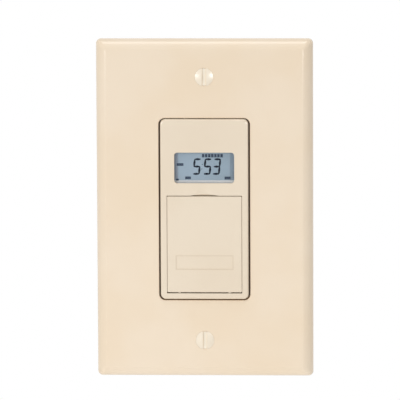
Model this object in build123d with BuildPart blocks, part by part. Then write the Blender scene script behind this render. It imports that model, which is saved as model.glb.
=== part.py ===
from build123d import *
import os

# In-wall timer switch with a display and a hinged door, in its cover plate. Millimetres.
# X is to the right, +Z is up and +Y goes into the wall. The wall plane is y = 0, so what
# stands in the room has a negative y. The origin is midway between the two box screws.

# Cover plate
plate_width = 79.2
plate_height = 124.2
plate_depth = 6.0
plate_side_height = 2.3
plate_bevel = 3.4
plate_corner_radius = 1.8
plate_wall = 2.2
plate_shoulder_radius = 1.1
plate_face_radius = 1.3
plate_rim = 2.2
plate_cavity_draft = 1.5
opening_gap_x = 0.6
opening_gap_z = 0.4
opening_radius = 2.2
opening_edge_radius = 0.35
plate_rib_width = 1.2
plate_rib_spacing = 23.0
plate_boss_radius = 3.0

# Screws that hold the cover plate to the strap
plate_screw_spacing = 96.84
plate_screw_radius = 1.70
plate_screw_length = 12.7
plate_screw_head_radius = 3.35
plate_screw_head_rise = 0.7
plate_screw_head_cone = 2.2
screw_slot_width = 1.5
screw_slot_depth = 1.0
countersink_clearance = 0.06

# Strap and the screws that hold it to the wall box
strap_thickness = 1.2
strap_end_margin = 4.08
strap_width = 38.0
strap_ear_width = 44.0
strap_ear_height = 9.0
strap_corner_radius = 3.0
strap_ear_radius = 2.0
strap_notch_radius = 1.1
box_screw_from_plate_screw = 6.75
box_screw_radius = 1.75
box_screw_neck_radius = 1.55
box_screw_length = 25.4
box_screw_head_radius = 3.5
box_screw_head_height = 2.0
box_screw_slot_width = 1.1
box_screw_slot_depth = 1.0
head_clearance = 0.3
box_slot_length = 7.5
box_slot_width = 4.2
retainer_size = 9.0
retainer_thickness = 0.8
retainer_clearance = 1.2
tapped_clearance = 0.05

# Front moulding of the timer
bezel_width = 32.1
bezel_height = 66.1
bezel_proud = 1.2
bezel_corner_radius = 1.9
bezel_edge_radius = 0.8
bezel_wall = 1.4
flange_overhang_x = 2.75
flange_overhang_z = 2.15
flange_thickness = 2.1
flange_corner_radius = 2.5
skirt_overhang_x = 0.45
skirt_inset_z = 2.85
skirt_wall = 1.2
skirt_depth = 4.6
skirt_corner_radius = 1.5
strap_window_clearance = 0.3
lug_spacing_x = 26.4
lug_from_housing = 2.3
lug_radius = 3.2
dowel_radius = 2.4
dowel_length = 2.4
dowel_clearance = 0.15

# Display
window_side_cover = 2.25
window_height = 11.25
window_radius = 1.15
window_from_top = 17.8
window_recess = 0.5
window_clearance = 0.05
window_flange = 1.2
window_flange_thickness = 0.6
cell_front_height = 14.8
cell_rear_height = 10.7
cell_glass = 0.9
cell_gap = 0.1
zebra_end_margin = 1.2
zebra_width = 1.6
holder_wall = 1.2
holder_clearance = 0.1
holder_side_gap = 0.15
holder_corner_radius = 0.8

# Door and its recess
door_side_rail = 2.3
door_bottom_rail = 2.52
display_section = 28.24
door_thickness = 1.6
door_side_gap = 0.12
door_top_gap = 0.25
door_bottom_gap = 0.38
door_corner_radius = 0.4
door_edge_radius = 0.22
recess_floor = 4.6
deck_thickness = 1.4
rail_undercut = 0.55
trough_depth = 0.35
trough_over_axis = 0.35
rail_land = 0.2
fin_width = 0.8
fin_spacing = 18.3
fin_height = 0.27
fin_depth = 0.9
nail_notch_width = 10.2
nail_notch_rise = 0.5
nail_notch_depth = 1.3
nail_dish_radius = 13.7
nail_dish_depth = 0.35
label_width = 20.8
label_height = 5.0
label_from_bottom = 11.0
label_depth = 0.15
label_radius = 0.25

# Hinge of the door and the rocker
axis_from_front = 1.7
axis_from_bottom = 2.4
pin_radius = 0.50
pin_running_clearance = 0.05
pin_length = 5.6
pin_grip = 1.75
pin_end_clearance = 0.2
eye_radius = 1.05
door_eye_inset = 3.2
door_eye_width = 1.5
eye_relief = 0.1
arm_width = 1.25
arm_side_gap = 0.4

# Rocker under the door that switches the load by hand
rocker_gap = 0.1
rocker_thickness = 1.5
rocker_key_gap = 2.5
rocker_top_gap = 0.6
rocker_mark_radius = 1.2
rocker_mark_depth = 0.15
rocker_mark_x = 6.5
plunger_radius = 1.2
plunger_hole_clearance = 0.5
plunger_end = 0.4
hook_from_side = 2.65
hook_from_top = 2.8
hook_width = 2.4
hook_thickness = 0.9
hook_barb = 0.5
hook_barb_length = 0.8
hook_slot_clearance = 0.3
hook_catch_gap = 0.08
catch_width = 3.0
catch_height = 0.8
catch_length = 1.2
catch_clearance = 0.2
catch_from_top = 1.6

# Programming keys
key_margin = 2.05
key_tray_gap = 1.7
key_height = 4.2
key_pitch = 5.6
keys_from_bottom = 20.0
key_proud = 1.7
key_corner_radius = 0.7
key_hole_clearance = 0.15
key_flange = 0.45
key_flange_thickness = 0.6
key_flange_gap = 0.1
key_edge_radius = 0.25
key_mark_size = 2.0
key_mark_width = 0.5
key_mark_height = 0.08
reset_from_bottom = 4.2
reset_radius = 1.1
reset_flange_radius = 1.7
reset_proud = 0.1
dome_gap = 0.06
dome_base_radius = 2.2
dome_top_radius = 1.1
keypad_width = 4.8
keypad_margin = 0.6
keypad_thickness = 0.8
switch_dome_radius = 3.4
switch_dome_top = 1.5

# Battery drawer
tray_from_side = 2.15
tray_from_bottom = 4.25
tray_wall = 0.75
tray_front_thickness = 0.6
tray_front_proud = 0.5
tray_lip_width = 8.0
tray_lip_height = 0.8
tray_lip_length = 1.1
tray_running_gap = 0.15
tray_corner_radius = 0.6
well_wall = 0.9
battery_radius = 7.6
battery_length = 26.4
battery_tip_radius = 3.2
battery_tip_height = 0.6
battery_edge_radius = 0.6
battery_side_gap = 0.25
battery_top_gap = 0.95
battery_end_gap = 0.3
contact_window = 5.2
strip_window = 1.8
strip_width = 3.0
strip_thickness = 0.3
spring_width = 2.6
spring_thickness = 0.3
spring_gap = 0.05

# Circuit boards and what they carry
control_board_y = 1.6
board_thickness = 1.6
board_edge_gap = 0.3
board_notch_margin = 0.35
board_screw_radius = 0.9
board_screw_length = 4.0
board_screw_head_radius = 1.7
board_screw_head_height = 1.2
board_post_radius = 1.5
pilot_clearance = 0.02
post_top_inset_x = 2.0
post_top_inset_z = 2.1
post_low_inset_x = 1.5
post_low_inset_z = 1.7
post_mid_inset_x = 1.7
post_mid_inset_z = 2.05
chip_size = 9.0
chip_height = 1.5
chip_x = -4.0
chip_below_window = 1.1
chip_bevel = 0.4
crystal_radius = 1.05
crystal_length = 6.2
crystal_x = 5.5
crystal_above_window = 0.9
header_inset = 2.4
header_below_bridge = 14.4
header_pin_count = 8
header_pin_spacing = 2.54
header_width = 2.5
header_height = 2.6
header_pin_radius = 0.32
power_board_from_well = 0.4
power_board_gap_x = 0.8
power_board_gap_z = 0.7
power_board_corner = 1.5
power_post_inset_x = 2.4
power_post_inset_z = 3.0
power_post_height = 2.3
power_post_radius = 2.0
relay_width = 15.4
relay_height = 19.0
relay_depth = 15.2
relay_x = -6.0
relay_above_film = 0.8
relay_edge_radius = 0.6
film_width = 18.0
film_height = 8.4
film_depth = 14.6
film_x = -7.0
film_above_well = 0.8
film_edge_radius = 0.8
can_radius = 4.9
can_length = 15.5
can_from_well = 1.15
can_from_post = 6.4
can_edge_radius = 0.7
can_groove_depth = 0.35
can_groove_from_board = 2.4
varistor_radius = 5.0
varistor_thickness = 4.2
varistor_above_can = 4.6
fuse_radius = 1.7
fuse_length = 9.5
fuse_from_bridge_x = 5.4
fuse_from_bridge_z = 9.0
bridge_width = 8.6
bridge_height = 6.4
bridge_depth = 3.2
bridge_from_post_x = 4.4
bridge_from_post_z = 6.6

# Rear housing
housing_width = 42.8
housing_end_room = 0.5
housing_wall = 1.8
housing_corner_radius = 3.0
housing_back_radius = 1.6
housing_draft = 0.9
lug_depth = 6.0
housing_screw_radius = 1.1
housing_screw_length = 8.2
housing_screw_head_radius = 2.0
housing_screw_head_height = 1.5
port_width = 15.0
port_height = 6.4
port_z = -8.0
port_collar = 1.2
port_collar_height = 0.8
driver_slot_width = 0.7
driver_slot_depth = 0.7

# How near a face an edge lies to count as one of its edges
edge_tolerance = 0.001

# Depths and places worked out from the sizes above
wall_y = 0.0
plate_face_y = wall_y - plate_depth
plate_inside_y = plate_face_y + plate_wall
strap_front_y = wall_y - strap_thickness
front_y = plate_face_y - bezel_proud
opening_width = bezel_width + 2 * opening_gap_x
opening_height = bezel_height + 2 * opening_gap_z
flange_width = bezel_width + 2 * flange_overhang_x
flange_height = bezel_height + 2 * flange_overhang_z
skirt_width = bezel_width + 2 * skirt_overhang_x
skirt_height = bezel_height - 2 * skirt_inset_z
strap_height = plate_screw_spacing + 2 * strap_end_margin
box_screw_spacing = plate_screw_spacing - 2 * box_screw_from_plate_screw
housing_height = skirt_height + 2 * (housing_end_room + housing_wall)
lug_spacing_z = housing_height + 2 * lug_from_housing
window_centre_z = bezel_height / 2 - window_from_top
cell_width = bezel_width - 2 * (bezel_wall + holder_side_gap + holder_wall + holder_clearance)
zebra_length = cell_width - 2 * zebra_end_margin
window_width = cell_width - 2 * window_side_cover
bezel_inside_y = front_y + bezel_wall
door_inside_y = front_y + door_thickness
deck_front_y = front_y + recess_floor
deck_back_y = deck_front_y + deck_thickness
door_width = bezel_width - 2 * (door_side_rail + door_side_gap)
door_height = bezel_height - door_bottom_rail - display_section
door_bottom_z = door_bottom_rail - bezel_height / 2
door_top_z = door_bottom_z + door_height
door_centre_z = (door_top_z + door_bottom_z) / 2
recess_half_width = door_width / 2 + door_side_gap
recess_top_z = door_top_z + door_top_gap
recess_bottom_z = door_bottom_z - door_bottom_gap
label_centre_z = door_bottom_z + label_from_bottom
pin_inner_x = recess_half_width + pin_grip - pin_length
door_eye_x = door_width / 2 - door_eye_inset
axis_y = front_y + axis_from_front
axis_z = door_bottom_z + axis_from_bottom
rocker_front_y = door_inside_y + rocker_gap
rocker_back_y = rocker_front_y + rocker_thickness
arm_outer_x = recess_half_width - arm_side_gap
rocker_top_z = recess_top_z - rocker_top_gap
hook_x = arm_outer_x - hook_from_side
hook_z = rocker_top_z - hook_from_top
catch_z = rocker_top_z - catch_from_top
tray_width = 2 * (battery_radius + battery_side_gap + tray_wall)
tray_height = 2 * battery_radius + battery_top_gap + tray_wall
tray_centre_x = tray_from_side - recess_half_width + tray_width / 2
tray_centre_z = door_bottom_z + tray_from_bottom + tray_height / 2
tray_front_y = deck_front_y - tray_front_proud
cell_start_y = tray_front_y + tray_front_thickness + strip_thickness
battery_end_y = cell_start_y + battery_length
tray_back_y = battery_end_y + battery_tip_height + battery_end_gap
tray_end_y = tray_back_y + tray_wall
battery_at = (tray_centre_x, tray_centre_z - tray_height / 2 + tray_wall + battery_radius)
strip_top_z = battery_at[1] + battery_radius + 2 * strip_thickness
well_width = tray_width + 2 * tray_running_gap
well_height = tray_height + 2 * tray_running_gap
well_at = (tray_centre_x, tray_centre_z)
well_end_y = tray_end_y + tray_running_gap + well_wall
well_right_x = tray_centre_x + well_width / 2 + well_wall
well_top_z = tray_centre_z + well_height / 2 + well_wall
key_left_x = tray_centre_x + tray_width / 2 + key_tray_gap
key_width = recess_half_width - key_margin - key_left_x
key_x = key_left_x + key_width / 2
key_top_z = door_bottom_z + keys_from_bottom
key_centres_z = [key_top_z - i * key_pitch for i in range(3)]
reset_z = door_bottom_z + reset_from_bottom
key_flange_y = deck_back_y + key_flange_gap
key_end_y = key_flange_y + key_flange_thickness
rocker_bottom_z = key_top_z + key_height / 2 + rocker_key_gap
plunger_z = (rocker_top_z + rocker_bottom_z) / 2
control_back_y = control_board_y + board_thickness
power_board_y = well_end_y + power_board_from_well
power_back_y = power_board_y + board_thickness
housing_floor_y = power_back_y + power_post_height
cell_front_y = bezel_inside_y + window_flange_thickness + cell_gap
cell_middle_y = cell_front_y + cell_glass
cell_back_y = cell_middle_y + cell_glass
zebra_offset_z = (cell_front_height - zebra_width) / 2
lug_places = [(sx * lug_spacing_x / 2, sz * lug_spacing_z / 2) for sx in (-1, 1) for sz in (-1, 1)]

# Control board in the skirt, with its posts at the corners and beside the well
control_board_width = skirt_width - 2 * (skirt_wall + board_edge_gap)
control_board_height = skirt_height - 2 * (skirt_wall + board_edge_gap)
notch_right_x = well_right_x + board_notch_margin
notch_top_z = well_top_z + board_notch_margin
post_top_x = control_board_width / 2 - post_top_inset_x
post_top_z = control_board_height / 2 - post_top_inset_z
post_low_x = control_board_width / 2 - post_low_inset_x
post_low_z = post_low_inset_z - control_board_height / 2
post_mid_x = post_mid_inset_x - control_board_width / 2
post_mid_z = notch_top_z + post_mid_inset_z
control_posts = [
    (-post_top_x, post_top_z),
    (post_top_x, post_top_z),
    (post_mid_x, post_mid_z),
    (post_low_x, post_low_z),
]

# Power board in the housing, with what it carries placed from its posts and from the well
power_board_width = housing_width - 2 * (housing_wall + power_board_gap_x)
power_board_height = housing_height - 2 * (housing_wall + power_board_gap_z)
power_post_x = power_board_width / 2 - power_post_inset_x
power_post_z = power_board_height / 2 - power_post_inset_z
power_posts = [(sx * power_post_x, sz * power_post_z) for sx in (-1, 1) for sz in (-1, 1)]
film_z = well_top_z + film_above_well + film_height / 2
relay_z = film_z + film_height / 2 + relay_above_film + relay_height / 2
can_x = well_right_x + can_from_well + can_radius
can_z = can_from_post - power_post_z
varistor_x = well_right_x + can_from_well + varistor_radius
varistor_z = can_z + can_radius + varistor_above_can + varistor_thickness / 2
bridge_x = power_post_x - bridge_from_post_x
bridge_z = power_post_z - bridge_from_post_z
fuse_x = bridge_x - fuse_from_bridge_x
fuse_z = bridge_z - fuse_from_bridge_z
chip_z = window_centre_z - chip_below_window
crystal_z = window_centre_z + crystal_above_window
header_x = control_board_width / 2 - header_inset
header_z = bridge_z - header_below_bridge


def facing_room(depth):
    """A sketch plane square to the wall at this depth, seen from the room: its y is the object's Z."""
    return Plane.XZ.offset(-depth)


def slab(width, height, back, front, at=(0, 0), corner=0.0, mode=Mode.ADD):
    """A block square to the wall between two depths, with rounded corners if asked."""
    with BuildSketch(facing_room(back)) as outline:
        with Locations(at):
            if corner > 0:
                RectangleRounded(width, height, corner)
            else:
                Rectangle(width, height)
    return extrude(outline.sketch, amount=back - front, mode=mode)


def block(x_low, x_high, z_low, z_high, back, front, corner=0.0, mode=Mode.ADD):
    """The same block, given by its edges."""
    at = ((x_low + x_high) / 2, (z_low + z_high) / 2)
    return slab(x_high - x_low, z_high - z_low, back, front, at, corner, mode)


def rod(radius, back, front, at=(0, 0), mode=Mode.ADD):
    """A round bar or hole square to the wall between two depths."""
    with BuildSketch(facing_room(back)) as outline:
        with Locations(at):
            Circle(radius)
    return extrude(outline.sketch, amount=back - front, mode=mode)


def crossbar(radius, x_low, x_high, depth, z, mode=Mode.ADD):
    """A round bar or hole along X."""
    with BuildSketch(Plane.YZ.offset(x_low)) as outline:
        with Locations((depth, z)):
            Circle(radius)
    return extrude(outline.sketch, amount=x_high - x_low, mode=mode)


def side_profile(points, x_low, x_high, mode=Mode.ADD):
    """A straight-sided outline of (depth, height) points, extruded along X."""
    with BuildSketch(Plane.YZ.offset(x_low)) as outline:
        with BuildLine():
            Polyline(points, close=True)
        make_face()
    return extrude(outline.sketch, amount=x_high - x_low, mode=mode)


def turned(points, at, mode=Mode.ADD):
    """A turned form about an axis square to the wall, from (radius, depth) points."""
    with BuildSketch(Plane.XY.offset(at[1])) as outline:
        with BuildLine():
            Polyline([(at[0] + radius, depth) for radius, depth in points], close=True)
        make_face()
    return revolve(outline.sketch, axis=Axis((at[0], 0, at[1]), (0, 1, 0)), mode=mode)


def soften(edges, radius):
    """Rounds the edges."""
    if radius > 0:
        fillet(edges, radius)


def flat_edges(part, depth):
    """The edges that lie in one depth."""
    return part.edges().filter_by_position(Axis.Y, depth - edge_tolerance, depth + edge_tolerance)


def save(part, name):
    """Names a finished piece and writes it."""
    part.label = name
    export_step(part, f"parts/{name}.step")


os.makedirs("parts", exist_ok=True)

# Cover plate: a bevelled shell that stands on its rim, with screw bosses and ribs behind
with BuildPart() as wall_plate:
    slab(plate_width, plate_height, wall_y, wall_y - plate_side_height, corner=plate_corner_radius)
    with BuildSketch(facing_room(wall_y - plate_side_height)):
        RectangleRounded(plate_width, plate_height, plate_corner_radius)
    with BuildSketch(facing_room(plate_face_y)):
        RectangleRounded(
            plate_width - 2 * plate_bevel, plate_height - 2 * plate_bevel, plate_corner_radius / 2
        )
    loft(ruled=True)
    soften(flat_edges(wall_plate, wall_y - plate_side_height), plate_shoulder_radius)
    soften(flat_edges(wall_plate, plate_face_y), plate_face_radius)
    with BuildSketch(facing_room(wall_y)):
        RectangleRounded(plate_width - 2 * plate_rim, plate_height - 2 * plate_rim, plate_corner_radius)
    with BuildSketch(facing_room(plate_inside_y)):
        RectangleRounded(
            plate_width - 2 * (plate_rim + plate_cavity_draft),
            plate_height - 2 * (plate_rim + plate_cavity_draft),
            plate_corner_radius,
        )
    loft(ruled=True, mode=Mode.SUBTRACT)
    for side in (-1, 1):
        rib_outer = side * (plate_width / 2 - plate_rim - plate_cavity_draft / 2)
        rib_inner = side * (strap_ear_width / 2 + plate_rib_width)
        for rib_z in (-plate_rib_spacing, 0, plate_rib_spacing):
            block(
                min(rib_inner, rib_outer),
                max(rib_inner, rib_outer),
                rib_z - plate_rib_width / 2,
                rib_z + plate_rib_width / 2,
                strap_front_y,
                plate_inside_y,
            )
        rod(plate_boss_radius, strap_front_y, plate_inside_y, (0, side * plate_screw_spacing / 2))
    slab(opening_width, opening_height, wall_y, plate_face_y, corner=opening_radius, mode=Mode.SUBTRACT)
    soften(
        flat_edges(wall_plate, plate_face_y).filter_by_position(
            Axis.X, -opening_width / 2 - edge_tolerance, opening_width / 2 + edge_tolerance
        ).filter_by_position(
            Axis.Z, -opening_height / 2 - edge_tolerance, opening_height / 2 + edge_tolerance
        ),
        opening_edge_radius,
    )
    for side in (-1, 1):
        turned(
            [
                (0, wall_y),
                (plate_screw_radius + tapped_clearance, wall_y),
                (plate_screw_radius + tapped_clearance, plate_face_y + plate_screw_head_cone),
                (plate_screw_head_radius + countersink_clearance, plate_face_y),
                (0, plate_face_y),
            ],
            (0, side * plate_screw_spacing / 2),
            mode=Mode.SUBTRACT,
        )
save(wall_plate.part, "wall_plate")

# Oval-head screws of the cover plate, slots upright
with BuildPart() as plate_screws:
    for side in (-1, 1):
        screw_z = side * plate_screw_spacing / 2
        head_top_y = plate_face_y - plate_screw_head_rise
        with BuildSketch(Plane.XY.offset(screw_z)) as screw_outline:
            with BuildLine():
                ThreePointArc(
                    (0, head_top_y),
                    (plate_screw_head_radius * 0.5, head_top_y + plate_screw_head_rise * 0.25),
                    (plate_screw_head_radius, plate_face_y),
                )
                Polyline(
                    (plate_screw_head_radius, plate_face_y),
                    (plate_screw_radius, plate_face_y + plate_screw_head_cone),
                    (plate_screw_radius, plate_face_y + plate_screw_length),
                    (0, plate_face_y + plate_screw_length),
                    (0, head_top_y),
                )
            make_face()
        revolve(screw_outline.sketch, axis=Axis((0, 0, screw_z), (0, 1, 0)))
        slab(
            screw_slot_width,
            2 * plate_screw_head_radius,
            head_top_y + screw_slot_depth,
            head_top_y,
            (0, screw_z),
            mode=Mode.SUBTRACT,
        )
save(plate_screws.part, "plate_screws")

# Steel strap: window for the timer, ears that bear on the wall, slots for the box screws
window_in_strap_width = skirt_width + 2 * strap_window_clearance
window_in_strap_height = skirt_height + 2 * strap_window_clearance
with BuildPart() as mounting_strap:
    slab(strap_width, strap_height, wall_y, strap_front_y, corner=strap_corner_radius)
    for side in (-1, 1):
        ear_z = side * (strap_height - strap_ear_height) / 2
        slab(strap_ear_width, strap_ear_height, wall_y, strap_front_y, (0, ear_z), strap_ear_radius)
    block(
        -housing_width / 2,
        housing_width / 2,
        -housing_height / 2,
        housing_height / 2,
        wall_y,
        strap_front_y,
        strap_corner_radius,
    )
    for side in (-1, 1):
        with BuildSketch(facing_room(wall_y)) as box_slot:
            with Locations((0, side * box_screw_spacing / 2)):
                SlotOverall(box_slot_length, box_slot_width)
        extrude(box_slot.sketch, amount=strap_thickness, mode=Mode.SUBTRACT)
        plate_hole = (0, side * plate_screw_spacing / 2)
        rod(plate_screw_radius + tapped_clearance, wall_y, strap_front_y, plate_hole, Mode.SUBTRACT)
        for notch_side in (-1, 1):
            notch_at = (notch_side * strap_width / 2, side * (strap_height / 2 - strap_ear_height / 3))
            rod(strap_notch_radius, wall_y, strap_front_y, notch_at, Mode.SUBTRACT)
    slab(
        window_in_strap_width,
        window_in_strap_height,
        wall_y,
        strap_front_y,
        corner=skirt_corner_radius,
        mode=Mode.SUBTRACT,
    )
    for place in lug_places:
        rod(dowel_radius + dowel_clearance, wall_y, strap_front_y, place, Mode.SUBTRACT)
save(mounting_strap.part, "mounting_strap")

# Pan-head screws into the wall box, with a neck where they pass the strap
with BuildPart() as box_screws:
    for side in (-1, 1):
        place = (0, side * box_screw_spacing / 2)
        head_top_y = strap_front_y - box_screw_head_height
        rod(box_screw_head_radius, strap_front_y, head_top_y, place)
        soften(
            flat_edges(box_screws, head_top_y).filter_by_position(
                Axis.Z, place[1] - box_screw_head_radius, place[1] + box_screw_head_radius
            ),
            box_screw_head_height / 3,
        )
        rod(box_screw_neck_radius, wall_y, strap_front_y, place)
        rod(box_screw_radius, strap_front_y + box_screw_length, wall_y, place)
        slab(
            2 * box_screw_head_radius,
            box_screw_slot_width,
            head_top_y + box_screw_slot_depth,
            head_top_y,
            place,
            mode=Mode.SUBTRACT,
        )
save(box_screws.part, "box_screws")

# Square washers that keep the box screws on the strap
with BuildPart() as screw_retainers:
    for side in (-1, 1):
        place = (0, side * box_screw_spacing / 2)
        slab(retainer_size, retainer_size, wall_y + retainer_thickness, wall_y, place)
        hole_radius = box_screw_radius + retainer_clearance
        rod(hole_radius, wall_y + retainer_thickness, wall_y, place, Mode.SUBTRACT)
save(screw_retainers.part, "screw_retainers")

# Front moulding: face, door recess with its deck, flange, skirt, posts, dowels and battery well
with BuildPart() as timer_bezel:
    slab(bezel_width, bezel_height, deck_back_y, front_y, corner=bezel_corner_radius)
    soften(flat_edges(timer_bezel, front_y), bezel_edge_radius)
    flange_front_y = deck_back_y - flange_thickness
    slab(flange_width, flange_height, deck_back_y, flange_front_y, corner=flange_corner_radius)
    for place in lug_places:
        rod(lug_radius, deck_back_y, flange_front_y, place)
        rod(dowel_radius, wall_y + dowel_length, deck_back_y, place)
    slab(skirt_width, skirt_height, wall_y + skirt_depth, deck_back_y, corner=skirt_corner_radius)
    slab(
        skirt_width - 2 * skirt_wall,
        skirt_height - 2 * skirt_wall,
        wall_y + skirt_depth,
        deck_back_y,
        mode=Mode.SUBTRACT,
    )
    for side in (-1, 1):
        head_at = (0, side * box_screw_spacing / 2)
        head_room = box_screw_head_radius + head_clearance
        rod(head_room, deck_back_y, flange_front_y, head_at, Mode.SUBTRACT)
    # Hollow behind the display, above the recess
    block(
        -bezel_width / 2 + bezel_wall,
        bezel_width / 2 - bezel_wall,
        recess_top_z + bezel_wall,
        skirt_height / 2 - skirt_wall,
        deck_back_y,
        bezel_inside_y,
        mode=Mode.SUBTRACT,
    )
    slab(
        window_width,
        window_height,
        bezel_inside_y,
        front_y,
        (0, window_centre_z),
        window_radius,
        Mode.SUBTRACT,
    )
    # Door recess, undercut and troughed at the lower rail so that the door's edge can swing past
    block(
        -recess_half_width,
        recess_half_width,
        recess_bottom_z,
        recess_top_z,
        deck_front_y,
        front_y,
        mode=Mode.SUBTRACT,
    )
    side_profile(
        [
            (front_y + rail_land, recess_bottom_z),
            (front_y + rail_land + rail_undercut, recess_bottom_z - rail_undercut),
            (deck_front_y, recess_bottom_z - rail_undercut),
            (deck_front_y, recess_bottom_z),
        ],
        -recess_half_width,
        recess_half_width,
        Mode.SUBTRACT,
    )
    block(
        -recess_half_width,
        recess_half_width,
        recess_bottom_z - rail_undercut,
        axis_z + trough_over_axis,
        deck_front_y + trough_depth,
        deck_front_y,
        mode=Mode.SUBTRACT,
    )
    # Fingernail notch over the door: the crest of a wide arc, and a shallow dish above it
    notch_radius = (nail_notch_width**2 / 4 + nail_notch_rise**2) / (2 * nail_notch_rise)
    with BuildSketch(facing_room(front_y + nail_notch_depth)) as notch:
        with Locations((0, recess_top_z + nail_notch_rise - notch_radius)):
            Circle(notch_radius)
        with Locations((0, recess_top_z)):
            Rectangle(nail_notch_width, 2 * nail_notch_rise, mode=Mode.INTERSECT)
    extrude(notch.sketch, amount=nail_notch_depth, mode=Mode.SUBTRACT)
    dish_centre = (0, front_y + nail_dish_depth - nail_dish_radius, recess_top_z)
    with Locations(dish_centre):
        Sphere(nail_dish_radius, mode=Mode.SUBTRACT)
    # Battery well, open at the deck
    slab(
        well_width + 2 * well_wall,
        well_height + 2 * well_wall,
        well_end_y,
        deck_back_y,
        well_at,
        tray_corner_radius + well_wall,
    )
    slab(
        well_width,
        well_height,
        well_end_y - well_wall,
        deck_front_y,
        well_at,
        tray_corner_radius,
        Mode.SUBTRACT,
    )
    slab(
        contact_window,
        contact_window,
        well_end_y,
        well_end_y - well_wall,
        well_at,
        mode=Mode.SUBTRACT,
    )
    slab(
        contact_window,
        strip_window,
        well_end_y,
        well_end_y - well_wall,
        (tray_centre_x, strip_top_z - strip_thickness),
        mode=Mode.SUBTRACT,
    )
    # Posts for the control board
    for place in control_posts:
        post_root_y = bezel_inside_y if place[1] > recess_top_z else deck_back_y
        rod(board_post_radius, control_board_y, post_root_y, place)
        pilot_end_y = control_back_y - board_screw_length
        rod(board_screw_radius + pilot_clearance, control_board_y, pilot_end_y, place, Mode.SUBTRACT)
    # Holes in the deck for the keys, the plunger and the hooks of the rocker
    for key_z in key_centres_z:
        slab(
            key_width + 2 * key_hole_clearance,
            key_height + 2 * key_hole_clearance,
            deck_back_y,
            deck_front_y,
            (key_x, key_z),
            key_corner_radius,
            Mode.SUBTRACT,
        )
    rod(reset_radius + key_hole_clearance, deck_back_y, deck_front_y, (key_x, reset_z), Mode.SUBTRACT)
    rod(plunger_radius + plunger_hole_clearance, deck_back_y, deck_front_y, (0, plunger_z), Mode.SUBTRACT)
    for side in (-1, 1):
        slab(
            hook_width + 2 * hook_slot_clearance,
            hook_thickness + hook_barb + 2 * hook_slot_clearance,
            deck_back_y,
            deck_front_y,
            (side * hook_x, hook_z + hook_barb / 2),
            mode=Mode.SUBTRACT,
        )
        # Bores that grip the hinge pins
        pin_low_x = min(side * recess_half_width, side * (pin_inner_x + pin_length))
        pin_high_x = max(side * recess_half_width, side * (pin_inner_x + pin_length))
        crossbar(pin_radius, pin_low_x, pin_high_x, axis_y, axis_z, Mode.SUBTRACT)
    # Pilot holes of the housing screws
    for place in lug_places:
        pilot_end_y = wall_y + lug_depth - housing_screw_length
        rod(
            housing_screw_radius + pilot_clearance,
            wall_y + dowel_length,
            pilot_end_y,
            place,
            Mode.SUBTRACT,
        )
save(timer_bezel.part, "timer_bezel")

# Clear window: a stepped plate pushed in from behind
with BuildPart() as display_window:
    slab(
        window_width - 2 * window_clearance,
        window_height - 2 * window_clearance,
        bezel_inside_y,
        front_y + window_recess,
        (0, window_centre_z),
        window_radius - window_clearance,
    )
    slab(
        window_width + 2 * window_flange,
        window_height + 2 * window_flange,
        bezel_inside_y + window_flange_thickness,
        bezel_inside_y,
        (0, window_centre_z),
        window_radius,
    )
save(display_window.part, "display_window")

# Display cell: the front glass overhangs the rear one, and the overhang carries the contacts
with BuildPart() as display_cell:
    slab(cell_width, cell_front_height, cell_middle_y, cell_front_y, (0, window_centre_z))
    slab(cell_width, cell_rear_height, cell_back_y, cell_middle_y, (0, window_centre_z))
save(display_cell.part, "display_cell")

with BuildPart() as zebra_strips:
    for side in (-1, 1):
        at = (0, window_centre_z + side * zebra_offset_z)
        slab(zebra_length, zebra_width, control_board_y, cell_middle_y, at)
save(zebra_strips.part, "zebra_strips")

# Frame that holds the cell and the strips against the board
with BuildPart() as display_holder:
    pocket_width = cell_width + 2 * holder_clearance
    pocket_height = cell_front_height + 2 * holder_clearance
    slab(
        pocket_width + 2 * holder_wall,
        pocket_height + 2 * holder_wall,
        control_board_y,
        cell_front_y,
        (0, window_centre_z),
        holder_corner_radius,
    )
    slab(
        pocket_width,
        pocket_height,
        cell_middle_y + holder_clearance,
        cell_front_y,
        (0, window_centre_z),
        mode=Mode.SUBTRACT,
    )
    slab(
        pocket_width,
        cell_rear_height + 2 * holder_clearance,
        cell_back_y + holder_clearance,
        cell_middle_y,
        (0, window_centre_z),
        mode=Mode.SUBTRACT,
    )
    for side in (-1, 1):
        slab(
            zebra_length + 2 * holder_clearance,
            zebra_width + 2 * holder_clearance,
            control_board_y,
            cell_middle_y,
            (0, window_centre_z + side * zebra_offset_z),
            mode=Mode.SUBTRACT,
        )
save(display_holder.part, "display_holder")

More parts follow.
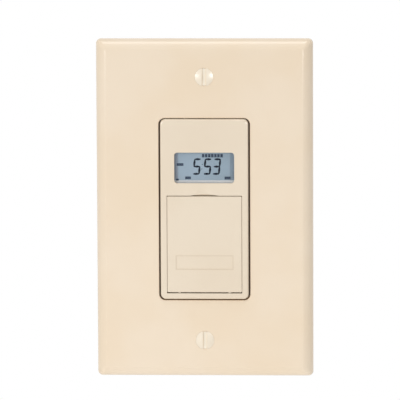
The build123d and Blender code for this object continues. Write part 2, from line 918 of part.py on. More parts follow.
# Door: a flat panel with a bare sunk rectangle, two hinge eyes, two fins and a catch hook
with BuildPart() as access_door:
    slab(
        door_width,
        door_height,
        door_inside_y,
        front_y,
        (0, door_centre_z),
        door_corner_radius,
    )
    soften(flat_edges(access_door, front_y), door_edge_radius)
    slab(
        label_width,
        label_height,
        front_y + label_depth,
        front_y,
        (0, label_centre_z),
        label_radius,
        Mode.SUBTRACT,
    )
    for side in (-1, 1):
        eye_low_x = min(side * door_eye_x, side * (door_eye_x + door_eye_width))
        crossbar(eye_radius, eye_low_x, eye_low_x + door_eye_width, axis_y, axis_z)
        block(
            side * fin_spacing / 2 - fin_width / 2,
            side * fin_spacing / 2 + fin_width / 2,
            door_bottom_z - fin_height,
            door_bottom_z + fin_height,
            front_y + door_edge_radius + fin_depth,
            front_y + door_edge_radius,
        )
        # Relief for the rocker's eye, open at the door's side
        relief_low_x = min(side * (door_eye_x + door_eye_width), side * door_width / 2)
        relief_high_x = max(side * (door_eye_x + door_eye_width), side * door_width / 2)
        crossbar(
            eye_radius + eye_relief, relief_low_x, relief_high_x, axis_y, axis_z, Mode.SUBTRACT
        )
        bore_low_x = min(side * (pin_inner_x - pin_end_clearance), side * door_width / 2)
        bore_high_x = max(side * (pin_inner_x - pin_end_clearance), side * door_width / 2)
        crossbar(
            pin_radius + pin_running_clearance, bore_low_x, bore_high_x, axis_y, axis_z, Mode.SUBTRACT
        )
    slab(catch_width, catch_height, door_inside_y + catch_length, door_inside_y, (0, catch_z))
save(access_door.part, "access_door")

with BuildPart() as hinge_pins:
    for side in (-1, 1):
        pin_start_x = min(side * pin_inner_x, side * (pin_inner_x + pin_length))
        crossbar(pin_radius, pin_start_x, pin_start_x + pin_length, axis_y, axis_z)
save(hinge_pins.part, "hinge_pins")

# Rocker: a bar behind the top of the door on two arms that turn on the hinge pins
with BuildPart() as override_rocker:
    block(
        -arm_outer_x,
        arm_outer_x,
        rocker_bottom_z,
        rocker_top_z,
        rocker_back_y,
        rocker_front_y,
    )
    for side in (-1, 1):
        arm_low_x = min(side * arm_outer_x, side * (arm_outer_x - arm_width))
        side_profile(
            [
                (axis_y + rocker_gap / 2, axis_z),
                (axis_y + eye_radius - rocker_gap, axis_z),
                (axis_y + eye_radius - rocker_gap, axis_z + eye_radius),
                (rocker_back_y, axis_z + 2 * eye_radius),
                (rocker_back_y, rocker_bottom_z),
                (rocker_front_y, rocker_bottom_z),
                (rocker_front_y, axis_z),
            ],
            arm_low_x,
            arm_low_x + arm_width,
        )
        crossbar(eye_radius, arm_low_x, arm_low_x + arm_width, axis_y, axis_z)
        crossbar(
            pin_radius + pin_running_clearance,
            arm_low_x,
            arm_low_x + arm_width,
            axis_y,
            axis_z,
            Mode.SUBTRACT,
        )
        # Snap hooks through the deck
        slab(
            hook_width,
            hook_thickness,
            deck_back_y + hook_catch_gap + hook_barb_length,
            rocker_back_y,
            (side * hook_x, hook_z),
        )
        side_profile(
            [
                (deck_back_y + hook_catch_gap, hook_z + hook_thickness / 2),
                (deck_back_y + hook_catch_gap, hook_z + hook_thickness / 2 + hook_barb),
                (deck_back_y + hook_catch_gap + hook_barb_length, hook_z + hook_thickness / 2),
            ],
            side * hook_x - hook_width / 2,
            side * hook_x + hook_width / 2,
        )
        # Sunk thumb mark
        mark_at = (side * rocker_mark_x, plunger_z)
        rod(rocker_mark_radius, rocker_front_y + rocker_mark_depth, rocker_front_y, mark_at, Mode.SUBTRACT)
    rod(plunger_radius, wall_y - plunger_end, rocker_back_y, (0, plunger_z))
    slab(
        catch_width + 2 * catch_clearance,
        catch_height + 2 * catch_clearance,
        rocker_back_y,
        rocker_front_y,
        (0, catch_z),
        mode=Mode.SUBTRACT,
    )
save(override_rocker.part, "override_rocker")


def key(name, at, mark):
    """One programming key: cap, flange behind the deck and a raised generic mark."""
    with BuildPart() as cap:
        cap_front_y = deck_front_y - key_proud
        slab(key_width, key_height, key_flange_y, cap_front_y, at, key_corner_radius)
        soften(flat_edges(cap, cap_front_y), key_edge_radius)
        slab(
            key_width + 2 * key_flange,
            key_height + 2 * key_flange,
            key_end_y,
            key_flange_y,
            at,
            key_corner_radius,
        )
        mark_front_y = cap_front_y - key_mark_height
        if mark in ("plus", "minus"):
            slab(key_mark_size, key_mark_width, cap_front_y, mark_front_y, at)
        if mark == "plus":
            slab(key_mark_width, key_mark_size, cap_front_y, mark_front_y, at)
        if mark == "dot":
            rod(key_mark_size / 2, cap_front_y, mark_front_y, at)
    save(cap.part, name)


key("mode_button", (key_x, key_centres_z[0]), "dot")
key("plus_button", (key_x, key_centres_z[1]), "plus")
key("minus_button", (key_x, key_centres_z[2]), "minus")

with BuildPart() as reset_button:
    reset_at = (key_x, reset_z)
    rod(reset_radius, key_flange_y, deck_front_y - reset_proud, reset_at)
    rod(reset_flange_radius, key_end_y, key_flange_y, reset_at)
save(reset_button.part, "reset_button")

# Silicone mat with a dome under each key, and the larger dome under the rocker's plunger
with BuildPart() as keypad:
    mat_top_z = key_centres_z[0] + key_height / 2 + keypad_margin / 2
    mat_bottom_z = reset_z - reset_radius - keypad_margin / 2
    block(
        key_x - keypad_width / 2,
        key_x + keypad_width / 2,
        mat_bottom_z,
        mat_top_z,
        control_board_y,
        control_board_y - keypad_thickness,
    )
    for key_z in key_centres_z + [reset_z]:
        top_radius = dome_top_radius if key_z != reset_z else reset_radius / 2
        base_radius = dome_base_radius if key_z != reset_z else reset_radius
        turned(
            [
                (0, control_board_y - keypad_thickness),
                (base_radius, control_board_y - keypad_thickness),
                (top_radius, key_end_y + dome_gap),
                (0, key_end_y + dome_gap),
            ],
            (key_x, key_z),
        )
save(keypad.part, "keypad")

with BuildPart() as override_dome:
    turned(
        [
            (0, control_board_y),
            (switch_dome_radius, control_board_y),
            (switch_dome_top, wall_y - plunger_end + dome_gap),
            (0, wall_y - plunger_end + dome_gap),
        ],
        (0, plunger_z),
    )
save(override_dome.part, "override_dome")

# Battery drawer: a trough, open on top, that slides out of the well when the door is open
with BuildPart() as battery_tray:
    slab(
        tray_width,
        tray_height,
        tray_end_y,
        tray_front_y,
        (tray_centre_x, tray_centre_z),
        tray_corner_radius,
    )
    block(
        tray_centre_x - tray_width / 2 + tray_wall,
        tray_centre_x + tray_width / 2 - tray_wall,
        tray_centre_z - tray_height / 2 + tray_wall,
        tray_centre_z + tray_height / 2 + tray_wall,
        tray_back_y,
        tray_front_y + tray_front_thickness,
        mode=Mode.SUBTRACT,
    )
    slab(
        contact_window,
        contact_window,
        tray_end_y,
        tray_back_y,
        battery_at,
        mode=Mode.SUBTRACT,
    )
    block(
        tray_centre_x - contact_window / 2,
        tray_centre_x + contact_window / 2,
        strip_top_z - strip_thickness - strip_window / 2,
        tray_centre_z + tray_height / 2,
        tray_end_y,
        tray_back_y,
        mode=Mode.SUBTRACT,
    )
    slab(
        tray_lip_width,
        tray_lip_height,
        tray_front_y,
        tray_front_y - tray_lip_length,
        (tray_centre_x, tray_centre_z + tray_height / 2 - tray_lip_height),
    )
save(battery_tray.part, "battery_tray")

with BuildPart() as battery_cell:
    rod(battery_radius, battery_end_y, cell_start_y, battery_at)
    soften(battery_cell.edges().filter_by(GeomType.CIRCLE), battery_edge_radius)
    rod(battery_tip_radius, battery_end_y + battery_tip_height, battery_end_y, battery_at)
save(battery_cell.part, "battery_cell")

# Bent strip in the drawer: from the cell's front end along the top to the back
with BuildPart() as tray_contact_strip:
    side_profile(
        [
            (cell_start_y - strip_thickness, battery_at[1] - strip_width / 2),
            (cell_start_y, battery_at[1] - strip_width / 2),
            (cell_start_y, strip_top_z - strip_thickness),
            (tray_back_y, strip_top_z - strip_thickness),
            (tray_back_y, strip_top_z),
            (cell_start_y - strip_thickness, strip_top_z),
        ],
        tray_centre_x - strip_width / 2,
        tray_centre_x + strip_width / 2,
    )
save(tray_contact_strip.part, "tray_contact_strip")

# Leaf springs on the power board that reach the cell and the strip
with BuildPart() as contact_springs:
    tip_y = battery_end_y + battery_tip_height + spring_gap
    for reach_y, spring_z in (
        (tip_y, battery_at[1]),
        (tray_back_y + spring_gap, strip_top_z - spring_thickness / 2),
    ):
        side_profile(
            [
                (reach_y, spring_z - spring_thickness / 2),
                (power_board_y, spring_z - spring_thickness / 2),
                (power_board_y, spring_z + spring_thickness / 2),
                (reach_y, spring_z + spring_thickness / 2),
            ],
            tray_centre_x - spring_width / 2,
            tray_centre_x + spring_width / 2,
        )
save(contact_springs.part, "contact_springs")

# Control board, cut away round the battery well
with BuildPart() as control_board:
    slab(control_board_width, control_board_height, control_back_y, control_board_y)
    block(
        -control_board_width / 2,
        notch_right_x,
        -control_board_height / 2,
        notch_top_z,
        control_back_y,
        control_board_y,
        mode=Mode.SUBTRACT,
    )
    for place in control_posts:
        rod(board_screw_radius + tapped_clearance, control_back_y, control_board_y, place, Mode.SUBTRACT)
save(control_board.part, "control_board")


def board_screw(at, seat_y):
    """A small screw from behind, its head seated at this depth."""
    head_top_y = seat_y + board_screw_head_height
    rod(board_screw_head_radius, head_top_y, seat_y, at)
    rod(board_screw_radius, seat_y, seat_y - board_screw_length, at)
    slab(
        2 * board_screw_head_radius,
        driver_slot_width,
        head_top_y,
        head_top_y - driver_slot_depth,
        at,
        mode=Mode.SUBTRACT,
    )


with BuildPart() as control_board_screws:
    for place in control_posts:
        board_screw(place, control_back_y)
save(control_board_screws.part, "control_board_screws")

with BuildPart() as control_chip:
    chip_at = (chip_x, chip_z)
    slab(chip_size, chip_size, control_back_y + chip_height, control_back_y, chip_at)
    chip_corners = control_chip.edges().filter_by(Axis.Y)
    chamfer(chip_corners, chip_bevel)
save(control_chip.part, "control_chip")

with BuildPart() as clock_crystal:
    with BuildSketch(Plane.XY.offset(crystal_z - crystal_length / 2)) as crystal_end:
        with Locations((crystal_x, control_back_y + crystal_radius)):
            Circle(crystal_radius)
    extrude(crystal_end.sketch, amount=crystal_length)
save(clock_crystal.part, "clock_crystal")

header_middle = (header_pin_count - 1) / 2
header_places = [header_z + (i - header_middle) * header_pin_spacing for i in range(header_pin_count)]
with BuildPart() as board_header:
    header_length = header_pin_count * header_pin_spacing
    header_at = (header_x, header_z)
    slab(header_width, header_length, control_back_y + header_height, control_back_y, header_at)
    for pin_z in header_places:
        rod(
            header_pin_radius + pilot_clearance,
            control_back_y + header_height,
            control_back_y,
            (header_x, pin_z),
            Mode.SUBTRACT,
        )
save(board_header.part, "board_header")

with BuildPart() as board_header_pins:
    for pin_z in header_places:
        rod(header_pin_radius, power_board_y, control_back_y, (header_x, pin_z))
save(board_header_pins.part, "board_header_pins")

# Power board on the posts of the rear housing
with BuildPart() as power_board:
    slab(power_board_width, power_board_height, power_back_y, power_board_y, corner=power_board_corner)
    for place in power_posts:
        rod(board_screw_radius + tapped_clearance, power_back_y, power_board_y, place, Mode.SUBTRACT)
save(power_board.part, "power_board")

with BuildPart() as power_board_screws:
    for place in power_posts:
        head_top_y = power_board_y - board_screw_head_height
        rod(board_screw_head_radius, power_board_y, head_top_y, place)
        rod(board_screw_radius, power_board_y + board_screw_length, power_board_y, place)
        slab(
            2 * board_screw_head_radius,
            driver_slot_width,
            head_top_y + driver_slot_depth,
            head_top_y,
            place,
            mode=Mode.SUBTRACT,
        )
save(power_board_screws.part, "power_board_screws")

with BuildPart() as power_relay:
    slab(relay_width, relay_height, power_board_y, power_board_y - relay_depth, (relay_x, relay_z))
    soften(power_relay.faces().sort_by(Axis.Y)[0].edges(), relay_edge_radius)
save(power_relay.part, "power_relay")

with BuildPart() as film_capacitor:
    slab(film_width, film_height, power_board_y, power_board_y - film_depth, (film_x, film_z))
    soften(film_capacitor.faces().sort_by(Axis.Y)[0].edges(), film_edge_radius)
save(film_capacitor.part, "film_capacitor")

with BuildPart() as supply_capacitor:
    can_at = (can_x, can_z)
    can_front_y = power_board_y - can_length
    groove_y = power_board_y - can_groove_from_board
    rod(can_radius, power_board_y, can_front_y, can_at)
    soften(flat_edges(supply_capacitor, can_front_y), can_edge_radius)
    turned(
        [
            (can_radius, groove_y - can_groove_depth),
            (can_radius - can_groove_depth, groove_y),
            (can_radius, groove_y + can_groove_depth),
        ],
        can_at,
        Mode.SUBTRACT,
    )
save(supply_capacitor.part, "supply_capacitor")

with BuildPart() as surge_varistor:
    with BuildSketch(Plane.XY.offset(varistor_z - varistor_thickness / 2)) as varistor_side:
        with Locations((varistor_x, power_board_y - varistor_radius)):
            Circle(varistor_radius)
    extrude(varistor_side.sketch, amount=varistor_thickness)
    soften(surge_varistor.edges().filter_by(GeomType.CIRCLE), varistor_thickness / 4)
save(surge_varistor.part, "surge_varistor")

with BuildPart() as fuse_resistor:
    with BuildSketch(Plane.XY.offset(fuse_z - fuse_length / 2)) as fuse_end:
        with Locations((fuse_x, power_board_y - fuse_radius)):
            Circle(fuse_radius)
    extrude(fuse_end.sketch, amount=fuse_length)
    soften(fuse_resistor.edges().filter_by(GeomType.CIRCLE), fuse_radius / 3)
save(fuse_resistor.part, "fuse_resistor")

with BuildPart() as bridge_rectifier:
    bridge_at = (bridge_x, bridge_z)
    slab(bridge_width, bridge_height, power_board_y, power_board_y - bridge_depth, bridge_at)
    chamfer(bridge_rectifier.faces().sort_by(Axis.Y)[0].edges(), chip_bevel)
save(bridge_rectifier.part, "bridge_rectifier")

# Rear housing: a deep cup with screw lugs at the strap and a port for the leads
with BuildPart() as rear_housing:
    back_y = housing_floor_y + housing_wall
    with BuildSketch(facing_room(wall_y)) as mouth:
        RectangleRounded(housing_width, housing_height, housing_corner_radius)
    extrude(mouth.sketch, amount=wall_y - back_y, taper=housing_draft)
    soften(flat_edges(rear_housing, back_y), housing_back_radius)
    for place in lug_places:
        rod(lug_radius, wall_y + lug_depth, wall_y, place)
    with BuildSketch(facing_room(back_y + port_collar_height)) as collar:
        with Locations((0, port_z)):
            SlotOverall(port_width + 2 * port_collar, port_height + 2 * port_collar)
    extrude(collar.sketch, amount=port_collar_height + housing_wall / 2)
    slab(
        housing_width - 2 * housing_wall,
        housing_height - 2 * housing_wall,
        housing_floor_y,
        wall_y,
        corner=housing_corner_radius - housing_wall / 2,
        mode=Mode.SUBTRACT,
    )
    with BuildSketch(facing_room(back_y + port_collar_height)) as port:
        with Locations((0, port_z)):
            SlotOverall(port_width, port_height)
    extrude(port.sketch, amount=port_collar_height + housing_wall, mode=Mode.SUBTRACT)
    for place in lug_places:
        pocket_y = wall_y + dowel_length + dowel_clearance
        rod(dowel_radius + dowel_clearance, pocket_y, wall_y, place, Mode.SUBTRACT)
        rod(housing_screw_radius + tapped_clearance, wall_y + lug_depth, wall_y, place, Mode.SUBTRACT)
    for place in power_posts:
        rod(power_post_radius, housing_floor_y, power_back_y, place)
        pilot_end_y = power_board_y + board_screw_length
        rod(board_screw_radius + pilot_clearance, pilot_end_y, power_back_y, place, Mode.SUBTRACT)
save(rear_housing.part, "rear_housing")

with BuildPart() as housing_screws:
    for place in lug_places:
        seat_y = wall_y + lug_depth
        head_top_y = seat_y + housing_screw_head_height
        rod(housing_screw_head_radius, head_top_y, seat_y, place)
        rod(housing_screw_radius, seat_y, seat_y - housing_screw_length, place)
        slab(
            2 * housing_screw_head_radius,
            driver_slot_width,
            head_top_y,
            head_top_y - driver_slot_depth,
            place,
            mode=Mode.SUBTRACT,
        )
save(housing_screws.part, "housing_screws")
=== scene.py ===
import bmesh
import bpy
import math
from mathutils import Matrix, Vector


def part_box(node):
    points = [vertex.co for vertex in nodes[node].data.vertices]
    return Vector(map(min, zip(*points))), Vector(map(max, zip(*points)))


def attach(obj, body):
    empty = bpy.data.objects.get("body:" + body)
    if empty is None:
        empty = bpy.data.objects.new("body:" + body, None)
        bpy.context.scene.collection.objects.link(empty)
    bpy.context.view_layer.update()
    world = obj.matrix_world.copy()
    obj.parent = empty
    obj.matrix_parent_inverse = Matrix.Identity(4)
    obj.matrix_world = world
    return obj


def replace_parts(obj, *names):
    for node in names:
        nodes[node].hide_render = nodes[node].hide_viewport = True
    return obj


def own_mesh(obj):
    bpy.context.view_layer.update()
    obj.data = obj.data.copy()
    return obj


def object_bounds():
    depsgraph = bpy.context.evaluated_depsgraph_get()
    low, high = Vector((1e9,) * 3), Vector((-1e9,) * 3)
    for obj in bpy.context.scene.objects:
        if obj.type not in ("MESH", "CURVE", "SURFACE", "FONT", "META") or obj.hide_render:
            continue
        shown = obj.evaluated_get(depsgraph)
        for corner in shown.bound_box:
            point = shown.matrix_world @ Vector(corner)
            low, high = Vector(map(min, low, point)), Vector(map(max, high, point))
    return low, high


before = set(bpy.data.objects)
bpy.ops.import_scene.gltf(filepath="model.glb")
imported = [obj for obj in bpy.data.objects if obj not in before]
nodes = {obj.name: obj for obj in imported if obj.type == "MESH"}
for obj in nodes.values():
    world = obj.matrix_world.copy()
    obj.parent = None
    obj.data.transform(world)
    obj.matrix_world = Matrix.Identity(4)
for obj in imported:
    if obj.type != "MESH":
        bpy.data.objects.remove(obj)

# In-wall timer switch in its cover plate: the finishes of its parts, its cover plate with the swelling
# bevel, the silicone domes under its keys and the display's figures. Metres, in the frame of the parts.

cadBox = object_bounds()
mm = 0.001


# Colours are written as seen on screen, 0 to 255, and turned into the renderer's linear values
def screenColour(red, green, blue):
    linear = []
    for level in (red, green, blue):
        share = level / 255
        linear.append(share / 12.92 if share <= 0.04045 else ((share + 0.055) / 1.055) ** 2.4)
    return (*linear, 1)


# A wire is one output socket. Sums, differences and products of wires add the Math nodes they need
class Wire:
    def __init__(self, finish, socket):
        self.finish = finish
        self.socket = socket

    def __add__(self, other):
        return self.finish.maths("ADD", self, other)

    def __radd__(self, other):
        return self.finish.maths("ADD", other, self)

    def __sub__(self, other):
        return self.finish.maths("SUBTRACT", self, other)

    def __rsub__(self, other):
        return self.finish.maths("SUBTRACT", other, self)

    def __mul__(self, other):
        return self.finish.maths("MULTIPLY", self, other)


# A finish is one material: a shader whose plain values are set on it, and the wires that feed it
class Finish:
    def __init__(self, name, **plain):
        self.material = bpy.data.materials.new(name)
        self.material.use_nodes = True
        self.tree = self.material.node_tree
        self.tree.nodes.clear()
        self.shader = self.tree.nodes.new("ShaderNodeBsdfPrincipled")
        self.output = self.tree.nodes.new("ShaderNodeOutputMaterial")
        self.tree.links.new(self.shader.outputs[0], self.output.inputs["Surface"])
        self.wear(**plain)

    # Any node: its settings first, then the values or wires of its sockets
    def node(self, kind, settings=None, out=0, **sockets):
        made = self.tree.nodes.new(kind)
        for key, value in (settings or {}).items():
            if key == "stops":
                ramp = made.color_ramp.elements
                while len(ramp) < len(value):
                    ramp.new(0.5)
                for stop, (place, colour) in zip(ramp, value):
                    stop.position = place
                    stop.color = colour
            else:
                setattr(made, key, value)
        for key, value in sockets.items():
            number = key[1:]
            socket = made.inputs[int(number)] if number.isdigit() else made.inputs[key.replace("_", " ")]
            self.feed(socket, value)
        return Wire(self, made.outputs[out])

    def feed(self, socket, value):
        if isinstance(value, Wire):
            self.tree.links.new(value.socket, socket)
        else:
            socket.default_value = value

    def maths(self, operation, first, second):
        return self.node("ShaderNodeMath", {"operation": operation}, s0=first, s1=second)

    def size(self, wire):
        return self.maths("ABSOLUTE", wire, 0)

    # Object coordinates, moved or stretched where a pattern needs it
    def place(self, scale=(1, 1, 1), shift=(0, 0, 0)):
        spot = self.node("ShaderNodeTexCoord", out="Object")
        return self.node("ShaderNodeMapping", Vector=spot, Scale=scale, Location=shift)

    # The named coordinates of a place, one wire each
    def split(self, spot, axes):
        return [self.node("ShaderNodeSeparateXYZ", out=axis, Vector=spot) for axis in axes]

    def noise(self, size, detail=2.0, rough=0.5, scale=(1, 1, 1)):
        spot = self.place(scale)
        return self.node("ShaderNodeTexNoise", Vector=spot, Scale=1 / size, Detail=detail, Roughness=rough)

    # Runs a wire from 0 to 1 between two of its levels, and holds it there
    def between(self, wire, low, high):
        settings = {"clamp": True, "interpolation_type": "SMOOTHSTEP"}
        return self.node("ShaderNodeMapRange", settings, Value=wire, From_Min=low, From_Max=high)

    # Mixes two colours, each one a wire or a colour as seen on screen
    def blend(self, share, first, second):
        sides = [side if isinstance(side, Wire) else screenColour(*side) for side in (first, second)]
        return self.node("ShaderNodeMix", {"data_type": "RGBA"}, 2, s0=share, s6=sides[0], s7=sides[1])

    def bump(self, height, depth, over=None):
        sockets = {"Height": height, "Distance": depth}
        if over is not None:
            sockets["Normal"] = over
        return self.node("ShaderNodeBump", **sockets)

    def wear(self, **sockets):
        for key, value in sockets.items():
            self.feed(self.shader.inputs[key.replace("_", " ")], value)
        return self.material


print("finishes")

# Almond mouldings: what they share, and the looks of the plate, the face, the door and what is behind it
almond = {
    "refraction": 1.49,
    "flowSize": 34 * mm,
    "flowRange": (0.35, 0.65),
    "flowDulls": 0.05,
    "grainSize": 0.16 * mm,
    "grainRange": (0.2, 0.8),
    "grainDarker": 30,
    "grainShare": 0.03,
    "grainDulls": 0.03,
    "skinSize": 1.4 * mm,
    "skinDepth": 0.004 * mm,
}
plateLook = {"colour": (243, 224, 198), "flow": (245, 228, 205), "roughness": 0.20, "mirror": 0.2}
faceLook = {"colour": (235, 219, 196), "flow": (238, 223, 201), "roughness": 0.26, "mirror": 0.45}
doorLook = {**faceLook, "roughness": 0.27}
innerLook = {
    "colour": (231, 214, 190),
    "flow": (235, 219, 196),
    "roughness": 0.42,
    "mirror": 0.45,
    "grainDepth": 0.006 * mm,
}

# Painted shade in the narrow gap round the timer, with painted light at its top and bottom
paintedGapShade = {
    # The first colour is the painted shade; the top and low colours are painted light
    "colour": (120, 76, 30),
    "topPaintedLight": (255, 247, 230),
    "lowPaintedLight": (190, 150, 104),
    "share": 0.85,
    "blur": 0.3 * mm,
    "endReach": 1.0 * mm,
}
# On the plate the painted shade lies inside a rectangle, on the timer outside one, between two depths
plateSeamShade = {
    "halfWidth": 17.3 * mm,
    "halfHeight": 34.1 * mm,
    "outward": False,
    "frontY": -5.85 * mm,
    "backY": -5.45 * mm,
}
faceSeamShade = {
    "halfWidth": 15.7 * mm,
    "halfHeight": 32.7 * mm,
    "outward": True,
    "frontY": -6.35 * mm,
    "backY": -5.9 * mm,
}


# The gap's walls are painted dark as shade, and painted lighter at the top and bottom, where light falls in
def seamShade(finish, tint, halfWidth, halfHeight, outward, frontY, backY):
    x, y, z = finish.split(finish.place(), "XYZ")
    across = finish.size(x) - halfWidth
    along = finish.size(z) - halfHeight
    beyond = finish.between(finish.maths("MAXIMUM", across, along), 0, paintedGapShade["blur"])
    beside = beyond if outward else 1 - beyond
    shade = paintedGapShade["colour"]
    for towardsEnd, colour in ((z, "topPaintedLight"), (z * -1, "lowPaintedLight")):
        atEnd = finish.between(towardsEnd, halfHeight - paintedGapShade["endReach"], halfHeight)
        shade = finish.blend(atEnd, shade, paintedGapShade[colour])
    return finish.blend(beside * finish.between(y, frontY, backY) * paintedGapShade["share"], tint, shade)


# A thin line of painted shade round the sunk rectangle of the door
paintedLabelShade = {
    "middleZ": -19.53 * mm,
    "halfWidth": 10.4 * mm,
    "halfHeight": 2.5 * mm,
    "line": 0.3 * mm,
    "colour": (198, 178, 150),
    "share": 0.22,
}


def labelShade(finish, tint):
    x, z = finish.split(finish.place(shift=(0, 0, -paintedLabelShade["middleZ"])), "XZ")
    across = finish.size(x) - paintedLabelShade["halfWidth"]
    along = finish.size(z) - paintedLabelShade["halfHeight"]
    away = finish.size(finish.maths("MAXIMUM", across, along))
    line = 1 - finish.between(away, paintedLabelShade["line"] / 2, paintedLabelShade["line"])
    return finish.blend(line * paintedLabelShade["share"], tint, paintedLabelShade["colour"])


def mouldedPlastic(name, look, gap=None, labelShaded=False):
    finish = Finish(name, IOR=almond["refraction"], Specular_IOR_Level=look["mirror"])
    drift = finish.between(finish.noise(almond["flowSize"], detail=3), *almond["flowRange"])
    grain = finish.between(finish.noise(almond["grainSize"], detail=1), *almond["grainRange"])
    darker = [level - almond["grainDarker"] for level in look["colour"]]
    tint = finish.blend(drift, look["colour"], look["flow"])
    tint = finish.blend(grain * almond["grainShare"], tint, darker)
    if gap:
        tint = seamShade(finish, tint, **gap)
    if labelShaded:
        tint = labelShade(finish, tint)
    skin = finish.bump(finish.noise(almond["skinSize"]), almond["skinDepth"])
    if "grainDepth" in look:
        skin = finish.bump(grain, look["grainDepth"], over=skin)
    dullness = look["roughness"] + drift * almond["flowDulls"] + grain * almond["grainDulls"]
    return finish.wear(Base_Color=tint, Roughness=dullness, Normal=skin)


# Plate screws painted in the plate's colour, with painted light in the slot against its shade
screwPaint = {
    "colour": (241, 227, 205),
    "flow": (246, 234, 214),
    "slotPaintedLight": (246, 238, 222),
    "slotEdge": (0.4 * mm, 0.6 * mm),
    "flowSize": 1.5 * mm,
    "flowDulls": 0.1,
    "skinDepth": 0.01 * mm,
    "roughness": 0.34,
    "coat": 0.12,
    "coatRoughness": 0.2,
}


def paintedScrew(name):
    finish = Finish(
        name, IOR=1.5, Coat_Weight=screwPaint["coat"], Coat_Roughness=screwPaint["coatRoughness"]
    )
    drift = finish.noise(screwPaint["flowSize"], detail=3)
    tint = finish.blend(drift, screwPaint["colour"], screwPaint["flow"])
    # Painted light: the slot is painted lighter than the head
    (x,) = finish.split(finish.place(), "X")
    beside = finish.between(finish.size(x), *screwPaint["slotEdge"])
    tint = finish.blend(beside, screwPaint["slotPaintedLight"], tint)
    dullness = screwPaint["roughness"] + drift * screwPaint["flowDulls"]
    skin = finish.bump(drift, screwPaint["skinDepth"])
    return finish.wear(Base_Color=tint, Roughness=dullness, Normal=skin)


# Clear window over the display, slightly hazy. Its tint is in the renderer's linear values
window = {
    "tint": (0.12, 0.15, 0.2, 1),
    "refraction": 1.49,
    "hazeSize": 6 * mm,
    "roughness": 0.04,
    "hazeDulls": 0.04,
    "cover": 0.05,
    "hazeCovers": 0.02,
}


def clearWindow(name):
    finish = Finish(name, Base_Color=window["tint"], IOR=window["refraction"])
    haze = finish.noise(window["hazeSize"])
    dullness = window["roughness"] + haze * window["hazeDulls"]
    return finish.wear(Roughness=dullness, Alpha=window["cover"] + haze * window["hazeCovers"])


# Display: a cell with its grey-blue field and dark segments. The field is darker towards the right, has a
# painted shadow along its top and a painted highlight along its bottom, a darker left band that is partly
# its own border and partly painted shade, and a darker border at its right
display = {
    "fieldLeft": (177, 197, 213),
    "fieldRight": (169, 189, 204),
    # leftBand is partly the field's border and partly painted shade, topShade a painted shadow, lowShine a
    # painted highlight
    "leftBand": (161, 172, 188),
    "rightBand": (148, 166, 181),
    "topShade": (120, 128, 136),
    "lowShine": (248, 250, 252),
    "cloudColour": (108, 126, 146),
    "cloudShare": 0.08,
    "ink": (12, 20, 34),
    "markInk": (58, 72, 92),
    "inkLighter": 12,
    "leftBandX": -9.45 * mm,
    "fadeX": -3 * mm,
    "fadeWidth": 8 * mm,
    "rightBandX": 9.15 * mm,
    "topShadeZ": 20.35 * mm,
    "lowShineZ": 10.7 * mm,
    "rimBlur": 0.35 * mm,
    "cellCloud": 5 * mm,
    "fieldCloud": 4 * mm,
    "inkCloud": 0.5 * mm,
    "cellRoughness": 0.32,
    "cellCloudDulls": 0.08,
    "fieldRoughness": 0.45,
    "inkRoughness": 0.5,
    "cloudDulls": 0.1,
}


def cellGlass(name):
    finish = Finish(name, IOR=1.45, Specular_IOR_Level=0.3)
    cloud = finish.noise(display["cellCloud"])
    tint = finish.blend(cloud, display["leftBand"], display["rightBand"])
    return finish.wear(
        Base_Color=tint, Roughness=display["cellRoughness"] + cloud * display["cellCloudDulls"]
    )


def fieldSheet(name):
    finish = Finish(name, IOR=1.45, Specular_IOR_Level=0.2)
    x, z = finish.split(finish.place(), "XZ")
    blur = display["rimBlur"]
    tint = display["fieldLeft"]
    # Darker to the right, then the right border, the left band of border and painted shade, the painted
    # shadow at the top and the painted highlight at the bottom
    for wire, start, width, colour in (
        (x, display["fadeX"], display["fadeWidth"], "fieldRight"),
        (x, display["rightBandX"], blur, "rightBand"),
        (x * -1, -display["leftBandX"], blur, "leftBand"),
        (z, display["topShadeZ"], blur, "topShade"),
        (z * -1, -display["lowShineZ"], blur, "lowShine"),
    ):
        tint = finish.blend(finish.between(wire, start, start + width), tint, display[colour])
    cloud = finish.noise(display["fieldCloud"], detail=3)
    tint = finish.blend(cloud * display["cloudShare"], tint, display["cloudColour"])
    return finish.wear(Base_Color=tint, Roughness=display["fieldRoughness"] + cloud * display["cloudDulls"])


def segmentInk(name, colour):
    finish = Finish(name, IOR=1.4, Specular_IOR_Level=0.2)
    cloud = finish.noise(display["inkCloud"])
    tint = finish.blend(cloud, colour, [level + display["inkLighter"] for level in colour])
    return finish.wear(Base_Color=tint, Roughness=display["inkRoughness"] + cloud * display["cloudDulls"])


# Rolled sheet with zinc: long streaks and faint yellow clouds
zinc = {
    "colour": (196, 198, 196),
    "cloudColour": (214, 212, 200),
    "streakColour": (168, 172, 174),
    "streakShare": 0.35,
    "streakSize": 0.7 * mm,
    "streakStretch": (1, 1, 0.06),
    "streakDepth": 0.004 * mm,
    "streakDulls": 0.16,
    "cloudSize": 9 * mm,
    "cloudRange": (0.35, 0.7),
    "roughness": 0.30,
}


def zincSheet(name):
    finish = Finish(name, Metallic=1.0)
    streak = finish.noise(zinc["streakSize"], detail=3, scale=zinc["streakStretch"])
    cloud = finish.between(finish.noise(zinc["cloudSize"], detail=3), *zinc["cloudRange"])
    tint = finish.blend(cloud, zinc["colour"], zinc["cloudColour"])
    tint = finish.blend(streak * zinc["streakShare"], tint, zinc["streakColour"])
    dullness = zinc["roughness"] + streak * zinc["streakDulls"]
    return finish.wear(Base_Color=tint, Roughness=dullness, Normal=finish.bump(streak, zinc["streakDepth"]))


